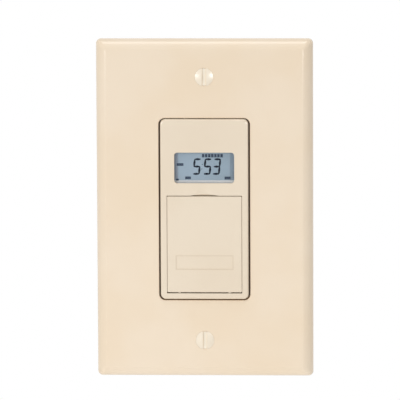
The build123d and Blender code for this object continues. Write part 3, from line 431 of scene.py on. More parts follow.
# Turned or drawn metal: fine rings about the axis into the wall, and dull clouds
turned = {
    "ringSize": 0.22 * mm,
    "ringStretch": (0.1, 1, 0.1),
    "ringDepth": 0.006 * mm,
    "cloudSize": 2.5 * mm,
    "cloudDulls": 0.12,
}


def turnedMetal(name, bright, dull, roughness):
    finish = Finish(name, Metallic=1.0)
    rings = finish.noise(turned["ringSize"], scale=turned["ringStretch"])
    cloud = finish.noise(turned["cloudSize"], detail=3)
    tint = finish.blend(cloud, bright, dull)
    dullness = roughness + cloud * turned["cloudDulls"]
    return finish.wear(Base_Color=tint, Roughness=dullness, Normal=finish.bump(rings, turned["ringDepth"]))


# Dull mouldings, sleeves and coatings
dull = {
    "grainRoughness": 0.6,
    "cloudSize": 12 * mm,
    "cloudShare": 0.6,
    "grainShare": 0.3,
    "lighter": 14,
    "grainDulls": 0.12,
}


def dullPlastic(name, colour, roughness, grainSize, grainDepth):
    finish = Finish(name, IOR=1.5)
    grain = finish.noise(grainSize, detail=3, rough=dull["grainRoughness"])
    cloud = finish.noise(dull["cloudSize"])
    lighter = [min(level + dull["lighter"], 255) for level in colour]
    tint = finish.blend(cloud * dull["cloudShare"] + grain * dull["grainShare"], colour, lighter)
    dullness = roughness + grain * dull["grainDulls"]
    return finish.wear(Base_Color=tint, Roughness=dullness, Normal=finish.bump(grain, grainDepth))


# Translucent rubber of the mat and the domes
rubber = {
    "colour": (188, 190, 192),
    "dustColour": (206, 208, 209),
    "dustSize": 0.4 * mm,
    "dustDepth": 0.01 * mm,
    "dustDulls": 0.15,
    "roughness": 0.5,
    "refraction": 1.41,
    "glow": 0.3,
    "glowDepth": 1.5 * mm,
}


def siliconeMat(name):
    finish = Finish(name, IOR=rubber["refraction"])
    finish.wear(Subsurface_Weight=rubber["glow"], Subsurface_Scale=rubber["glowDepth"])
    dust = finish.noise(rubber["dustSize"], detail=3)
    tint = finish.blend(dust, rubber["colour"], rubber["dustColour"])
    dullness = rubber["roughness"] + dust * rubber["dustDulls"]
    return finish.wear(Base_Color=tint, Roughness=dullness, Normal=finish.bump(dust, rubber["dustDepth"]))


# Layered rubber: conducting and plain layers by turns
layered = {
    "plainColour": (214, 150, 160),
    "carbonColour": (44, 42, 46),
    "pitch": 0.9 * mm,
    "edge": (0.4, 0.6),
    "roughness": 0.55,
    "layerDulls": 0.1,
}


def zebraRubber(name):
    finish = Finish(name)
    settings = {"wave_type": "BANDS", "bands_direction": "X"}
    layers = finish.node("ShaderNodeTexWave", settings, Vector=finish.place(), Scale=1 / layered["pitch"])
    tint = finish.blend(
        finish.between(layers, *layered["edge"]), layered["plainColour"], layered["carbonColour"]
    )
    return finish.wear(Base_Color=tint, Roughness=layered["roughness"] + layers * layered["layerDulls"])


# Pressed fibre card of the screw retainers
card = {
    "colour": (120, 86, 56),
    "fibreColour": (176, 136, 96),
    "fibreSize": 0.5 * mm,
    "fibreRoughness": 0.7,
    "fibreStretch": (1, 1, 0.3),
    "fibreDepth": 0.05 * mm,
    "fibreDulls": 0.1,
    "roughness": 0.8,
}


def fibreCard(name):
    finish = Finish(name)
    fibre = finish.noise(
        card["fibreSize"], detail=6, rough=card["fibreRoughness"], scale=card["fibreStretch"]
    )
    tint = finish.blend(fibre, card["colour"], card["fibreColour"])
    dullness = card["roughness"] + fibre * card["fibreDulls"]
    return finish.wear(Base_Color=tint, Roughness=dullness, Normal=finish.bump(fibre, card["fibreDepth"]))


# Boards: green mask over tracks, which show as slightly raised lighter lines that bend here and there
board = {
    "maskColour": (16, 74, 40),
    "trackColour": (36, 108, 58),
    "weaveColour": (24, 92, 52),
    "trackPitch": 2.54 * mm,
    "wavesPerPitch": 0.31,
    "trackEdge": (1.05, 1.12),
    "trackHeight": 0.03 * mm,
    "bendSize": 7 * mm,
    "bendShare": 0.7,
    "weaveSize": 0.35 * mm,
    "weaveShare": 0.2,
    "weaveDepth": 0.01 * mm,
    "weaveDulls": 0.1,
    "roughness": 0.28,
    "coat": 0.6,
    "coatRoughness": 0.12,
}


def boardMask(name):
    finish = Finish(name, IOR=1.5, Coat_Weight=board["coat"], Coat_Roughness=board["coatRoughness"])
    bend = finish.noise(board["bendSize"], detail=1)
    settings = {"wave_type": "BANDS", "bands_direction": "Z"}
    waves = board["wavesPerPitch"] / board["trackPitch"]
    bands = finish.node("ShaderNodeTexWave", settings, Vector=finish.place(), Scale=waves)
    tracks = finish.between(bands + bend * board["bendShare"], *board["trackEdge"])
    weave = finish.noise(board["weaveSize"])
    tint = finish.blend(tracks, board["maskColour"], board["trackColour"])
    tint = finish.blend(weave * board["weaveShare"], tint, board["weaveColour"])
    skin = finish.bump(tracks, board["trackHeight"], over=finish.bump(weave, board["weaveDepth"]))
    dullness = board["roughness"] + weave * board["weaveDulls"]
    return finish.wear(Base_Color=tint, Roughness=dullness, Normal=skin)


# Supply capacitor: a wrinkled sleeve with a pale stripe down its right side
sleeve = {
    "colour": (28, 34, 60),
    "stripeColour": (176, 180, 186),
    "stripeEdge": (15.6 * mm, 15.9 * mm),
    "wrinkleSize": 1.6 * mm,
    "wrinkleStretch": (1, 0.3, 1),
    "wrinkleDepth": 0.02 * mm,
    "wrinkleDulls": 0.15,
    "roughness": 0.25,
}


def sleevedCan(name):
    finish = Finish(name, IOR=1.5)
    (x,) = finish.split(finish.place(), "X")
    wrinkle = finish.noise(sleeve["wrinkleSize"], detail=3, scale=sleeve["wrinkleStretch"])
    tint = finish.blend(finish.between(x, *sleeve["stripeEdge"]), sleeve["colour"], sleeve["stripeColour"])
    dullness = sleeve["roughness"] + wrinkle * sleeve["wrinkleDulls"]
    skin = finish.bump(wrinkle, sleeve["wrinkleDepth"])
    return finish.wear(Base_Color=tint, Roughness=dullness, Normal=skin)


# Fuse resistor: a cement coat with three colour rings along its height
resistor = {
    "coat": (126, 150, 134),
    "rings": [(0.25, (120, 70, 40)), (0.45, (30, 30, 30)), (0.65, (190, 160, 70))],
    "ringWidth": 0.09,
    "lowZ": 6.7 * mm,
    "highZ": 16.1 * mm,
    "grainSize": 0.5 * mm,
    "grainDepth": 0.03 * mm,
    "grainDulls": 0.1,
    "roughness": 0.6,
}


def resistorCoat(name):
    finish = Finish(name)
    (z,) = finish.split(finish.place(), "Z")
    coat = screenColour(*resistor["coat"])
    stops = [(0.0, coat)]
    for start, colour in resistor["rings"]:
        stops += [(start, screenColour(*colour)), (start + resistor["ringWidth"], coat)]
    settings = {"clamp": True}
    along = finish.node(
        "ShaderNodeMapRange", settings, Value=z, From_Min=resistor["lowZ"], From_Max=resistor["highZ"]
    )
    rings = finish.node("ShaderNodeValToRGB", {"stops": stops}, Fac=along)
    grain = finish.noise(resistor["grainSize"], detail=4)
    dullness = resistor["roughness"] + grain * resistor["grainDulls"]
    skin = finish.bump(grain, resistor["grainDepth"])
    return finish.wear(Base_Color=rings, Roughness=dullness, Normal=skin)


def dress(material, *names):
    for name in names:
        slots = nodes[name].data.materials
        slots.clear()
        slots.append(material)


# The plate and the timer's face carry the painted shade and light of the gap
plateFinish = mouldedPlastic("plateAlmond", plateLook, gap=plateSeamShade)
siliconeFinish = siliconeMat("silicone")
dress(paintedScrew("screwPaint"), "plate_screws")
dress(mouldedPlastic("faceAlmond", faceLook, gap=faceSeamShade), "timer_bezel")
# The door carries a painted line of shade round its sunk rectangle
dress(mouldedPlastic("doorAlmond", doorLook, labelShaded=True), "access_door")
dress(
    mouldedPlastic("innerAlmond", innerLook),
    "override_rocker",
    "mode_button",
    "plus_button",
    "minus_button",
    "battery_tray",
)
dress(clearWindow("clearWindow"), "display_window")
dress(cellGlass("cellGlass"), "display_cell")
dress(zebraRubber("zebraRubber"), "zebra_strips")
dress(zincSheet("zincSheet"), "mounting_strap")
dress(fibreCard("retainerCard"), "screw_retainers")
dress(boardMask("boardMask"), "control_board", "power_board")
dress(sleevedCan("canSleeve"), "supply_capacitor")
dress(resistorCoat("resistorCoat"), "fuse_resistor")

# Metals: bright colour, dull colour, roughness and the nodes that wear them
screwNodes = ["box_screws", "housing_screws", "control_board_screws", "power_board_screws"]
metals = {
    "pinSteel": ((222, 222, 224), (190, 191, 194), 0.18, ["hinge_pins"]),
    "zincScrew": ((214, 215, 214), (186, 188, 190), 0.26, screwNodes),
    "brass": ((226, 196, 120), (196, 160, 84), 0.24, ["tray_contact_strip", "contact_springs"]),
    "pinBrass": ((232, 206, 132), (206, 172, 92), 0.2, ["board_header_pins"]),
    "crystalCan": ((220, 220, 220), (198, 198, 200), 0.22, ["clock_crystal"]),
}
for name, (bright, dullColour, roughness, wearers) in metals.items():
    dress(turnedMetal(name, bright, dullColour, roughness), *wearers)

# Dull parts: colour, roughness, size and depth of the grain in mm, and the nodes that wear them
plastics = {
    "resetGrey": ((120, 120, 122), 0.45, 0.3, 0.01, ["reset_button"]),
    "holderWhite": ((226, 226, 220), 0.45, 0.4, 0.01, ["display_holder"]),
    "batteryJacket": ((40, 46, 54), 0.3, 2.0, 0.01, ["battery_cell"]),
    "chipBlack": ((38, 38, 40), 0.55, 0.2, 0.008, ["control_chip", "bridge_rectifier"]),
    "headerBlack": ((32, 32, 34), 0.4, 0.3, 0.006, ["board_header"]),
    "relayCase": ((40, 66, 104), 0.25, 0.5, 0.006, ["power_relay"]),
    "filmCase": ((206, 170, 62), 0.35, 0.5, 0.01, ["film_capacitor"]),
    "varistorCoat": ((52, 104, 170), 0.3, 0.8, 0.04, ["surge_varistor"]),
    "housingBlack": ((46, 46, 48), 0.5, 0.35, 0.02, ["rear_housing"]),
}
for name, (colour, roughness, grainSize, grainDepth, wearers) in plastics.items():
    dress(dullPlastic(name, colour, roughness, grainSize * mm, grainDepth * mm), *wearers)

# Turns what is made flat, along X and Y, to stand square to the wall, along X and Z
standing = Matrix.Rotation(math.pi / 2, 3, "X")


# Turns a finished bmesh into a piece that rides on a body
def makePiece(name, shape, material, body):
    bmesh.ops.recalc_face_normals(shape, faces=shape.faces)
    mesh = bpy.data.meshes.new(name)
    shape.to_mesh(mesh)
    shape.free()
    mesh.materials.append(material)
    piece = bpy.data.objects.new(name, mesh)
    bpy.context.scene.collection.objects.link(piece)
    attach(piece, body)
    return piece


# A flat tile square to the wall between two depths, added to a bmesh. Its corners can be rounded
def addTile(shape, lowX, highX, lowZ, highZ, front, back, corner=0.0):
    made = bmesh.ops.create_cube(shape, size=1)["verts"]
    size = Vector((highX - lowX, back - front, highZ - lowZ))
    middle = Vector(((lowX + highX) / 2, (front + back) / 2, (lowZ + highZ) / 2))
    bmesh.ops.scale(shape, vec=size, verts=made)
    bmesh.ops.translate(shape, vec=middle, verts=made)
    if corner > 0:
        edges = {edge for vert in made for edge in vert.link_edges}
        upright = [edge for edge in edges if abs((edge.verts[0].co - edge.verts[1].co).y) > size.y / 2]
        bmesh.ops.bevel(
            shape, geom=upright, offset=corner, affect="EDGES", segments=3, profile=0.5, material=-1
        )


print("cover plate")

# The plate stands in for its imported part: the same shell in the same box, with a bevel that swells
plateLow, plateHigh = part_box("wall_plate")
plate = {
    "width": plateHigh.x - plateLow.x,
    "height": plateHigh.z - plateLow.z,
    "faceY": plateLow.y,
    "bevelWidth": 3.62 * mm,
    "tiltAtFace": math.radians(18),
    "tiltAtSide": math.radians(86),
    "bevelSteps": 12,
    "bevelLead": 0.15 * mm,
    "edgeRadius": 0.9 * mm,
    "edgeSteps": 4,
    "cornerRadius": 1.8 * mm,
    "faceCornerRadius": 0.5 * mm,
    "wall": 2.2 * mm,
    "rim": 2.2 * mm,
    "draft": 1.5 * mm,
    "cavityRadius": 1.8 * mm,
    "openingWidth": 33.3 * mm,
    "openingHeight": 66.9 * mm,
    "openingRadius": 2.2 * mm,
    "openingEdge": 0.35 * mm,
    "openingSteps": 3,
    "openingDrop": 0.1 * mm,
    "ribWidth": 1.2 * mm,
    "ribSpacing": 23.0 * mm,
    "ribInner": 23.2 * mm,
    "ribRooting": 0.1 * mm,
    "bossRadius": 3.0 * mm,
    "bossBack": -1.2 * mm,
    "screwZ": 48.42 * mm,
    "screwHole": 1.75 * mm,
    "coneRadius": 3.41 * mm,
    "coneDepth": 2.2 * mm,
}
insideY = plate["faceY"] + plate["wall"]


# A ring of points round a rounded rectangle: a circle whose quarters are moved out to the corners
def roundedRing(shape, width, height, radius, depth, middleZ=0.0, segments=48):
    made = bmesh.ops.create_circle(shape, segments=segments, radius=radius)["verts"]
    half = Matrix.Rotation(math.pi / segments, 3, "Z")
    bmesh.ops.rotate(shape, cent=(0, 0, 0), matrix=half, verts=made)
    bmesh.ops.rotate(shape, cent=(0, 0, 0), matrix=standing, verts=made)
    for side in (-1, 1):
        across = [vert for vert in made if vert.co.x * side > 0]
        bmesh.ops.translate(shape, vec=(side * (width / 2 - radius), 0, 0), verts=across)
        along = [vert for vert in made if vert.co.z * side > 0]
        bmesh.ops.translate(shape, vec=(0, 0, side * (height / 2 - radius)), verts=along)
    bmesh.ops.translate(shape, vec=(0, depth, middleZ), verts=made)
    return list({edge for vert in made for edge in vert.link_edges})


def joinRings(shape, rings):
    for first, second in zip(rings, rings[1:]):
        bmesh.ops.bridge_loops(shape, edges=first + second)


# Insets and depths of the shell's outside: straight side, arc of the bevel, soft edge of the face
def bevelProfile():
    low, high, steps = plate["tiltAtFace"], plate["tiltAtSide"], plate["bevelSteps"]
    radius = plate["bevelWidth"] / (math.sin(high) - math.sin(low))
    rise = radius * (math.cos(low) - math.cos(high))
    startY = plate["faceY"] + rise
    points = [(0.0, 0.0), (0.0, startY + plate["bevelLead"])]
    for step in range(steps + 1):
        tilt = high + (low - high) * step / steps
        inset = radius * (math.sin(high) - math.sin(tilt))
        points.append((inset, startY - radius * (math.cos(tilt) - math.cos(high))))
    trim = plate["edgeRadius"] * math.tan(low / 2)
    points = [point for point in points if point[0] < plate["bevelWidth"] - trim]
    for step in range(plate["edgeSteps"] + 1):
        tilt = low * (1 - step / plate["edgeSteps"])
        inset = plate["bevelWidth"] + trim - plate["edgeRadius"] * math.sin(tilt)
        points.append((inset, plate["faceY"] + plate["edgeRadius"] * (1 - math.cos(tilt))))
    return points


def outsideRings(shape):
    rings = []
    for inset, depth in bevelProfile():
        share = min(inset / plate["bevelWidth"], 1)
        radius = plate["cornerRadius"] + (plate["faceCornerRadius"] - plate["cornerRadius"]) * share
        width, height = plate["width"] - 2 * inset, plate["height"] - 2 * inset
        rings.append(roundedRing(shape, width, height, radius, depth))
    joinRings(shape, rings)
    return rings


# The opening for the timer, from its soft front edge to the roof of the cavity
def openingRings(shape):
    edge, steps = plate["openingEdge"], plate["openingSteps"]
    widths = []
    for step in range(steps + 1):
        turn = math.pi / 2 * step / steps
        widths.append((edge * (1 - math.sin(turn)), plate["faceY"] + edge * (1 - math.cos(turn))))
    widths.append((0.0, insideY))
    rings = []
    for wider, depth in widths:
        width, height = plate["openingWidth"] + 2 * wider, plate["openingHeight"] + 2 * wider
        radius = plate["openingRadius"] + wider
        rings.append(roundedRing(shape, width, height, radius, depth, -plate["openingDrop"]))
    joinRings(shape, rings)
    return rings


# A countersunk screw hole and the boss behind it
def holeRings(shape, middleZ):
    rings = []
    for radius, depth in (
        (plate["coneRadius"], plate["faceY"]),
        (plate["screwHole"], plate["faceY"] + plate["coneDepth"]),
        (plate["screwHole"], plate["bossBack"]),
        (plate["bossRadius"], plate["bossBack"]),
        (plate["bossRadius"], insideY),
    ):
        rings.append(roundedRing(shape, 2 * radius, 2 * radius, radius, depth, middleZ))
    joinRings(shape, rings)
    return rings


def cavityRings(shape):
    rings = []
    for inset, depth in ((plate["rim"] + plate["draft"], insideY), (plate["rim"], 0.0)):
        width, height = plate["width"] - 2 * inset, plate["height"] - 2 * inset
        rings.append(roundedRing(shape, width, height, plate["cavityRadius"], depth))
    joinRings(shape, rings)
    return rings


# Three ribs on either side of the opening, rooted in the cavity's roof and as deep as the bosses
def addRibs(shape):
    outer = plate["width"] / 2 - plate["rim"] - plate["draft"] / 2
    for side in (-1, 1):
        lowX, highX = sorted((side * plate["ribInner"], side * outer))
        for place in (-1, 0, 1):
            lowZ = place * plate["ribSpacing"] - plate["ribWidth"] / 2
            highZ = lowZ + plate["ribWidth"]
            addTile(shape, lowX, highX, lowZ, highZ, insideY - plate["ribRooting"], plate["bossBack"])


def platePiece():
    shape = bmesh.new()
    outside = outsideRings(shape)
    opening = openingRings(shape)
    holes = [holeRings(shape, side * plate["screwZ"]) for side in (-1, 1)]
    cavity = cavityRings(shape)
    face = outside[-1] + opening[0] + holes[0][0] + holes[1][0]
    roof = opening[-1] + holes[0][-1] + holes[1][-1] + cavity[0]
    rim = cavity[1] + outside[0]
    for edges in (face, roof, rim):
        bmesh.ops.triangle_fill(shape, use_beauty=True, edges=edges)
    bmesh.ops.recalc_face_normals(shape, faces=shape.faces)
    addRibs(shape)
    return makePiece("cover_plate", shape, plateFinish, "timer")


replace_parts(platePiece(), "wall_plate")

print("silicone domes")

# The mat and the domes stand in for their imported parts, one dome under each key
domes = {
    "matThickness": 0.8 * mm,
    "rooting": 0.1 * mm,
    "segments": 32,
    "keyBase": 2.2 * mm,
    "keyTop": 1.1 * mm,
    "resetBase": 1.1 * mm,
    "resetTop": 0.55 * mm,
    "rockerBase": 3.4 * mm,
    "rockerTop": 1.5 * mm,
    "keyKeep": 0.58,
    "rockerKeep": 0.66,
}


def domePiece(joint, middle, base, top, backY, frontY, keep):
    shape = bmesh.new()
    made = bmesh.ops.create_cone(
        shape, cap_ends=True, segments=domes["segments"], radius1=base, radius2=top, depth=backY - frontY
    )["verts"]
    bmesh.ops.rotate(shape, cent=(0, 0, 0), matrix=standing, verts=made)
    bmesh.ops.translate(shape, vec=(middle.x, (frontY + backY) / 2, middle.z), verts=made)
    piece = makePiece(f"{joint}_dome", shape, siliconeFinish, "timer")
    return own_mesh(piece)


def keypadPieces():
    low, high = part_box("keypad")
    matFront = high.y - domes["matThickness"]
    shape = bmesh.new()
    addTile(shape, low.x, high.x, low.z, high.z, matFront, high.y)
    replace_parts(makePiece("keypad_mat", shape, siliconeFinish, "timer"), "keypad")
    for name in ("mode", "plus", "minus", "reset"):
        keyLow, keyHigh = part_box(f"{name}_button")
        middle = (keyLow + keyHigh) / 2
        kind = "reset" if name == "reset" else "key"
        backY = matFront + domes["rooting"]
        sizes = (domes[f"{kind}Base"], domes[f"{kind}Top"], backY, low.y)
        domePiece(f"{name}_press", middle, *sizes, domes["keyKeep"])


keypadPieces()
domeLow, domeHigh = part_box("override_dome")
rockerDome = domePiece(
    "override_press",
    (domeLow + domeHigh) / 2,
    domes["rockerBase"],
    domes["rockerTop"],
    domeHigh.y,
    domeLow.y,
    domes["rockerKeep"],
)
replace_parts(rockerDome, "override_dome")

print("smooth shading")

# Loose triangles are joined and their soft edges shaded smooth by modifiers; no mesh is changed
smoothing = {"joinWithin": 0.002 * mm, "sharpAbove": math.radians(31)}


def softShading():
    group = bpy.data.node_groups.new("softShading", "GeometryNodeTree")
    for way in ("INPUT", "OUTPUT"):
        group.interface.new_socket("Geometry", in_out=way, socket_type="NodeSocketGeometry")
    kinds = {
        "start": "NodeGroupInput",
        "join": "GeometryNodeMergeByDistance",
        "soft": "GeometryNodeSetShadeSmooth",
        "sharp": "GeometryNodeSetShadeSmooth",
        "angle": "GeometryNodeInputMeshEdgeAngle",
        "above": "FunctionNodeCompare",
        "end": "NodeGroupOutput",
    }
    made = {name: group.nodes.new(kind) for name, kind in kinds.items()}
    made["join"].inputs["Distance"].default_value = smoothing["joinWithin"]
    made["sharp"].domain = "EDGE"
    made["sharp"].inputs["Shade Smooth"].default_value = False
    made["above"].operation = "GREATER_THAN"
    made["above"].inputs["B"].default_value = smoothing["sharpAbove"]
    chain = ["start", "join", "soft", "sharp", "end"]
    for first, second in zip(chain, chain[1:]):
        group.links.new(made[first].outputs[0], made[second].inputs[0])
    group.links.new(made["angle"].outputs["Unsigned Angle"], made["above"].inputs["A"])
    group.links.new(made["above"].outputs["Result"], made["sharp"].inputs["Selection"])
    return group


shadeGroup = softShading()


def smoothed(piece):
    shade = piece.modifiers.new("softShading", "NODES")
    shade.node_group = shadeGroup
    normals = piece.modifiers.new("evenNormals", "WEIGHTED_NORMAL")
    normals.keep_sharp = True


for piece in list(nodes.values()) + [bpy.data.objects["cover_plate"]]:
    smoothed(piece)

print("display")

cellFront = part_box("display_cell")[0].y
screen = {
    "sheetThickness": 0.03 * mm,
    "inkThickness": 0.02 * mm,
    "fieldSide": 11.6 * mm,
    "fieldBottom": 8.6 * mm,
    "fieldTop": 22.4 * mm,
    "digitHeight": 6.1 * mm,
    "digitWidth": 2.8 * mm,
    "stroke": 0.74 * mm,
    "segmentSides": 6,
    "segmentReach": 0.5,
    "segmentGap": 0.1 * mm,
    "slant": math.radians(6),
    "digitsZ": 15.55 * mm,
    "digits": [("5", -2.75 * mm), ("5", 1.15 * mm), ("3", 4.5 * mm)],
    "colonX": -0.87 * mm,
    "colonRises": (0.8 * mm, -0.9 * mm),
    "colonSize": 0.3 * mm,
}
sheetFront = cellFront - screen["sheetThickness"]
inkFront = sheetFront - screen["inkThickness"]


# One segment: a stretched six-sided prism with pointed ends, lying along X or along Z
def addSegment(shape, x, z, length, upright):
    stroke, sides = screen["stroke"], screen["segmentSides"]
    ring = bmesh.ops.create_circle(shape, cap_ends=True, segments=sides, radius=stroke / 2)["verts"]
    bmesh.ops.scale(shape, vec=(1, 1 / math.cos(math.pi / sides), 1), verts=ring)
    stretch = (length - stroke) / 2
    bmesh.ops.translate(shape, vec=(stretch, 0, 0), verts=[v for v in ring if v.co.x > 0])
    bmesh.ops.translate(shape, vec=(-stretch, 0, 0), verts=[v for v in ring if v.co.x < 0])
    face = ring[0].link_faces[0]
    top = bmesh.ops.extrude_face_region(shape, geom=[face])["geom"]
    raised = [v for v in top if isinstance(v, bmesh.types.BMVert)]
    bmesh.ops.translate(shape, vec=(0, 0, screen["inkThickness"]), verts=raised)
    whole = ring + raised
    if upright:
        bmesh.ops.rotate(shape, cent=(0, 0, 0), matrix=Matrix.Rotation(math.pi / 2, 3, "Z"), verts=whole)
    bmesh.ops.rotate(shape, cent=(0, 0, 0), matrix=standing, verts=whole)
    bmesh.ops.translate(shape, vec=(x, sheetFront, z), verts=whole)


# Segments in the usual order: top, upper right, lower right, bottom, lower left, upper left, middle
litSegments = {"5": (0, 2, 3, 5, 6), "3": (0, 1, 2, 3, 6)}


def addDigit(shape, figure, middleX):
    halfWidth = screen["digitWidth"] / 2 - screen["stroke"] / 2
    halfHeight = screen["digitHeight"] / 2 - screen["stroke"] / 2
    reach = screen["stroke"] * screen["segmentReach"] - 2 * screen["segmentGap"]
    across = 2 * halfWidth + reach
    along = halfHeight + reach
    places = [
        (0, halfHeight, across, False),
        (halfWidth, halfHeight / 2, along, True),
        (halfWidth, -halfHeight / 2, along, True),
        (0, -halfHeight, across, False),
        (-halfWidth, -halfHeight / 2, along, True),
        (-halfWidth, halfHeight / 2, along, True),
        (0, 0, across, False),
    ]
    for number in litSegments[figure]:
        x, z, length, upright = places[number]
        addSegment(shape, middleX + x, screen["digitsZ"] + z, length, upright)


# Leans the segments to the right about the middle of the figures
def lean(shape):
    shear = Matrix.Identity(4)
    shear[0][2] = math.tan(screen["slant"])
    shear[0][3] = -screen["digitsZ"] * math.tan(screen["slant"])
    bmesh.ops.transform(shape, matrix=shear, verts=shape.verts)


# An ink tile on the sheet, given by its middle
def addInk(shape, x, z, width, height, corner=0.0):
    lowX, lowZ = x - width / 2, z - height / 2
    addTile(shape, lowX, lowX + width, lowZ, lowZ + height, inkFront, sheetFront, corner)


field = bmesh.new()
side = screen["fieldSide"]
addTile(field, -side, side, screen["fieldBottom"], screen["fieldTop"], sheetFront, cellFront)
makePiece("display_field", field, fieldSheet("fieldSheet"), "timer")

figures = bmesh.new()
for figure, middleX in screen["digits"]:
    addDigit(figures, figure, middleX)
for rise in screen["colonRises"]:
    dot = screen["colonSize"]
    addInk(figures, screen["colonX"], screen["digitsZ"] + rise, dot, dot)
lean(figures)
makePiece("display_figures", figures, segmentInk("segmentInk", display["ink"]), "timer")

# Plain marks where the display shows its modes: a row of day marks and four short bars.
# A bar is given by its middle, its width and its height, in mm
marks = {
    "dayCount": 7,
    "dayLeft": -0.9 * mm,
    "dayPitch": 1.12 * mm,
    "dayWidth": 0.9 * mm,
    "dayHeight": 1.25 * mm,
    "dayZ": 19.55 * mm,
    "bars": [
        (-8.9, 16.3, 2.5, 1.0),
        (-6.0, 11.4, 2.1, 1.0),
        (8.45, 11.35, 2.2, 1.05),
        (-9.9, 10.75, 1.0, 0.7),
    ],
    "corner": 0.12 * mm,
}
modeMarks = bmesh.new()
for number in range(marks["dayCount"]):
    x = marks["dayLeft"] + number * marks["dayPitch"] + marks["dayWidth"] / 2
    addInk(modeMarks, x, marks["dayZ"], marks["dayWidth"], marks["dayHeight"])
for x, z, width, height in marks["bars"]:
    addInk(modeMarks, x * mm, z * mm, width * mm, height * mm, marks["corner"])
makePiece("display_marks", modeMarks, segmentInk("markInk", display["markInk"]), "timer")

print("stage, lights and camera")

stage = {
    "floorDrop": 100 * mm,
    "floorRadius": 0.45,
    "floorFade": (0.26, 0.43),
    "floorColour": (243.4, 243.4, 243.4),
    "floorCloud": (247, 247, 247),
    "floorCloudSize": 80 * mm,
    "floorSides": 64,
    "worldLevel": 0.6,
}
floorShape = bmesh.new()
bmesh.ops.create_circle(
    floorShape, cap_ends=True, segments=stage["floorSides"], radius=stage["floorRadius"]
)
bmesh.ops.translate(floorShape, vec=(0, 0, cadBox[0].z - stage["floorDrop"]), verts=floorShape.verts)
floorMesh = bpy.data.meshes.new("floor")
floorShape.to_mesh(floorMesh)
floorShape.free()
floor = bpy.data.objects.new("floor", floorMesh)
bpy.context.scene.collection.objects.link(floor)


# White floor that fades into the white surroundings at its rim
def floorPaint():
    finish = Finish("floorPaint", Roughness=0.9, Specular_IOR_Level=0.1)
    cloud = finish.noise(stage["floorCloudSize"])
    finish.wear(Base_Color=finish.blend(cloud, stage["floorColour"], stage["floorCloud"]))
    settings = {"operation": "LENGTH"}
    away = finish.node("ShaderNodeVectorMath", settings, "Value", Vector=finish.place())
    fade = finish.between(away, *stage["floorFade"])
    clear = finish.node("ShaderNodeBsdfTransparent")
    solid = Wire(finish, finish.shader.outputs[0])
    mixed = finish.node("ShaderNodeMixShader", Fac=fade, s1=solid, s2=clear)
    finish.feed(finish.output.inputs["Surface"], mixed)
    return finish.material


floorMesh.materials.append(floorPaint())


# The surroundings: plain level light, seen as white by the camera, in reflections and through the window
def surroundings():
    world = bpy.data.worlds.new("surroundings")
    world.use_nodes = True
    tree = world.node_tree
    tree.nodes.clear()
    rays = tree.nodes.new("ShaderNodeLightPath")
    level = tree.nodes.new("ShaderNodeBackground")
    level.inputs["Strength"].default_value = stage["worldLevel"]
    white = tree.nodes.new("ShaderNodeBackground")
    seen, through = tree.nodes.new("ShaderNodeMath"), tree.nodes.new("ShaderNodeMath")
    mixed = tree.nodes.new("ShaderNodeMixShader")
    output = tree.nodes.new("ShaderNodeOutputWorld")
    for background in (level, white):
        background.inputs["Color"].default_value = (1, 1, 1, 1)
    for either in (seen, through):
        either.operation = "MAXIMUM"
    tree.links.new(rays.outputs["Is Camera Ray"], seen.inputs[0])
    tree.links.new(rays.outputs["Is Glossy Ray"], seen.inputs[1])
    tree.links.new(seen.outputs[0], through.inputs[0])
    tree.links.new(rays.outputs["Is Transmission Ray"], through.inputs[1])
    tree.links.new(through.outputs[0], mixed.inputs["Fac"])
    tree.links.new(level.outputs[0], mixed.inputs[1])
    tree.links.new(white.outputs[0], mixed.inputs[2])
    tree.links.new(mixed.outputs[0], output.inputs["Surface"])
    return world


bpy.context.scene.world = surroundings()

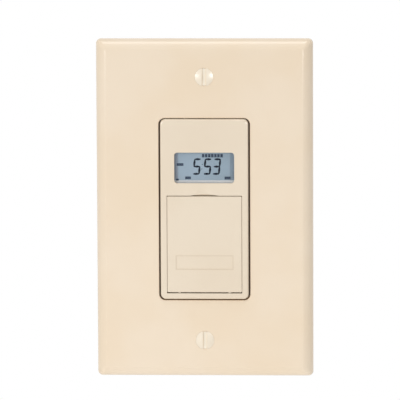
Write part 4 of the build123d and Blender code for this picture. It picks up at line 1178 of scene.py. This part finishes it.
# Soft boxes: place, where they point, width, height, watts, whether they light matt surfaces, and
# whether they show in glossy ones. Top and the edge lamps only draw bright lines on the plate's bevels
lamps = {
    "front": ((-0.62, -1.15, -0.10), (0, 0, 0), 1.0, 1.0, 2.6, True, True),
    "fill": ((-0.45, -1.35, -0.05), (0, 0, 0), 0.5, 0.5, 2.7, True, False),
    "floorWash": ((0, -0.15, -0.075), (0, -0.15, -1), 0.3, 0.3, 0.10, True, False),
    "sky": ((0, -0.30, 1.40), (0, 0, 0), 1.0, 1.0, 5.4, True, True),
    "top": ((-0.06, 0.10, 1.34), (0, 0, 0), 0.42, 0.42, 4.6, False, True),
    "leftEdge": ((-0.106, -0.125, 0.052), (-0.036, -0.006, 0.059), 0.05, 0.016, 0.11, False, True),
    "rightEdge": ((0.096, -0.131, 0.056), (0.036, -0.006, 0.060), 0.04, 0.016, 0.22, False, True),
}
for name, (place, target, width, height, watts, diffuse, glossy) in lamps.items():
    light = bpy.data.lights.new(name, "AREA")
    light.shape = "RECTANGLE"
    light.size = width
    light.size_y = height
    light.energy = watts
    lamp = bpy.data.objects.new(name, light)
    lamp.location = place
    lamp.rotation_euler = (Vector(target) - Vector(place)).to_track_quat("-Z", "Y").to_euler()
    lamp.visible_camera = False
    lamp.visible_diffuse = diffuse
    lamp.visible_glossy = glossy
    bpy.context.scene.collection.objects.link(lamp)

# The photograph's viewpoint: slightly above, slightly to the right, from 1.7 m with a long lens
view = {
    "distance": 1.70,
    "azimuth": math.radians(2.6),
    "elevation": math.radians(7.2),
    "roll": math.radians(0.25),
    "aimRight": -1.9 * mm,
    "aimUp": 2.6 * mm,
    "imageWidth": 400,
    "pixelsPerRadian": 4640,
    "farLimit": 20,
}


def makeCamera():
    toCamera = Vector(
        (
            math.sin(view["azimuth"]) * math.cos(view["elevation"]),
            -math.cos(view["azimuth"]) * math.cos(view["elevation"]),
            math.sin(view["elevation"]),
        )
    )
    right = (-toCamera).cross(Vector((0, 0, 1))).normalized()
    up = right.cross(-toCamera)
    aim = right * view["aimRight"] + up * view["aimUp"]
    lens = bpy.data.cameras.new("photoView")
    lens.lens = lens.sensor_width * view["pixelsPerRadian"] / view["imageWidth"]
    lens.clip_end = view["farLimit"]
    camera = bpy.data.objects.new("photoView", lens)
    bpy.context.scene.collection.objects.link(camera)
    look = (aim - toCamera * view["distance"]).to_track_quat("-Z", "Y").to_matrix().to_4x4()
    turn = Matrix.Rotation(-view["roll"], 4, "Z")
    camera.matrix_world = Matrix.Translation(toCamera * view["distance"]) @ look @ turn
    bpy.context.scene.camera = camera


makeCamera()
bpy.context.scene.view_settings.view_transform = "Standard"
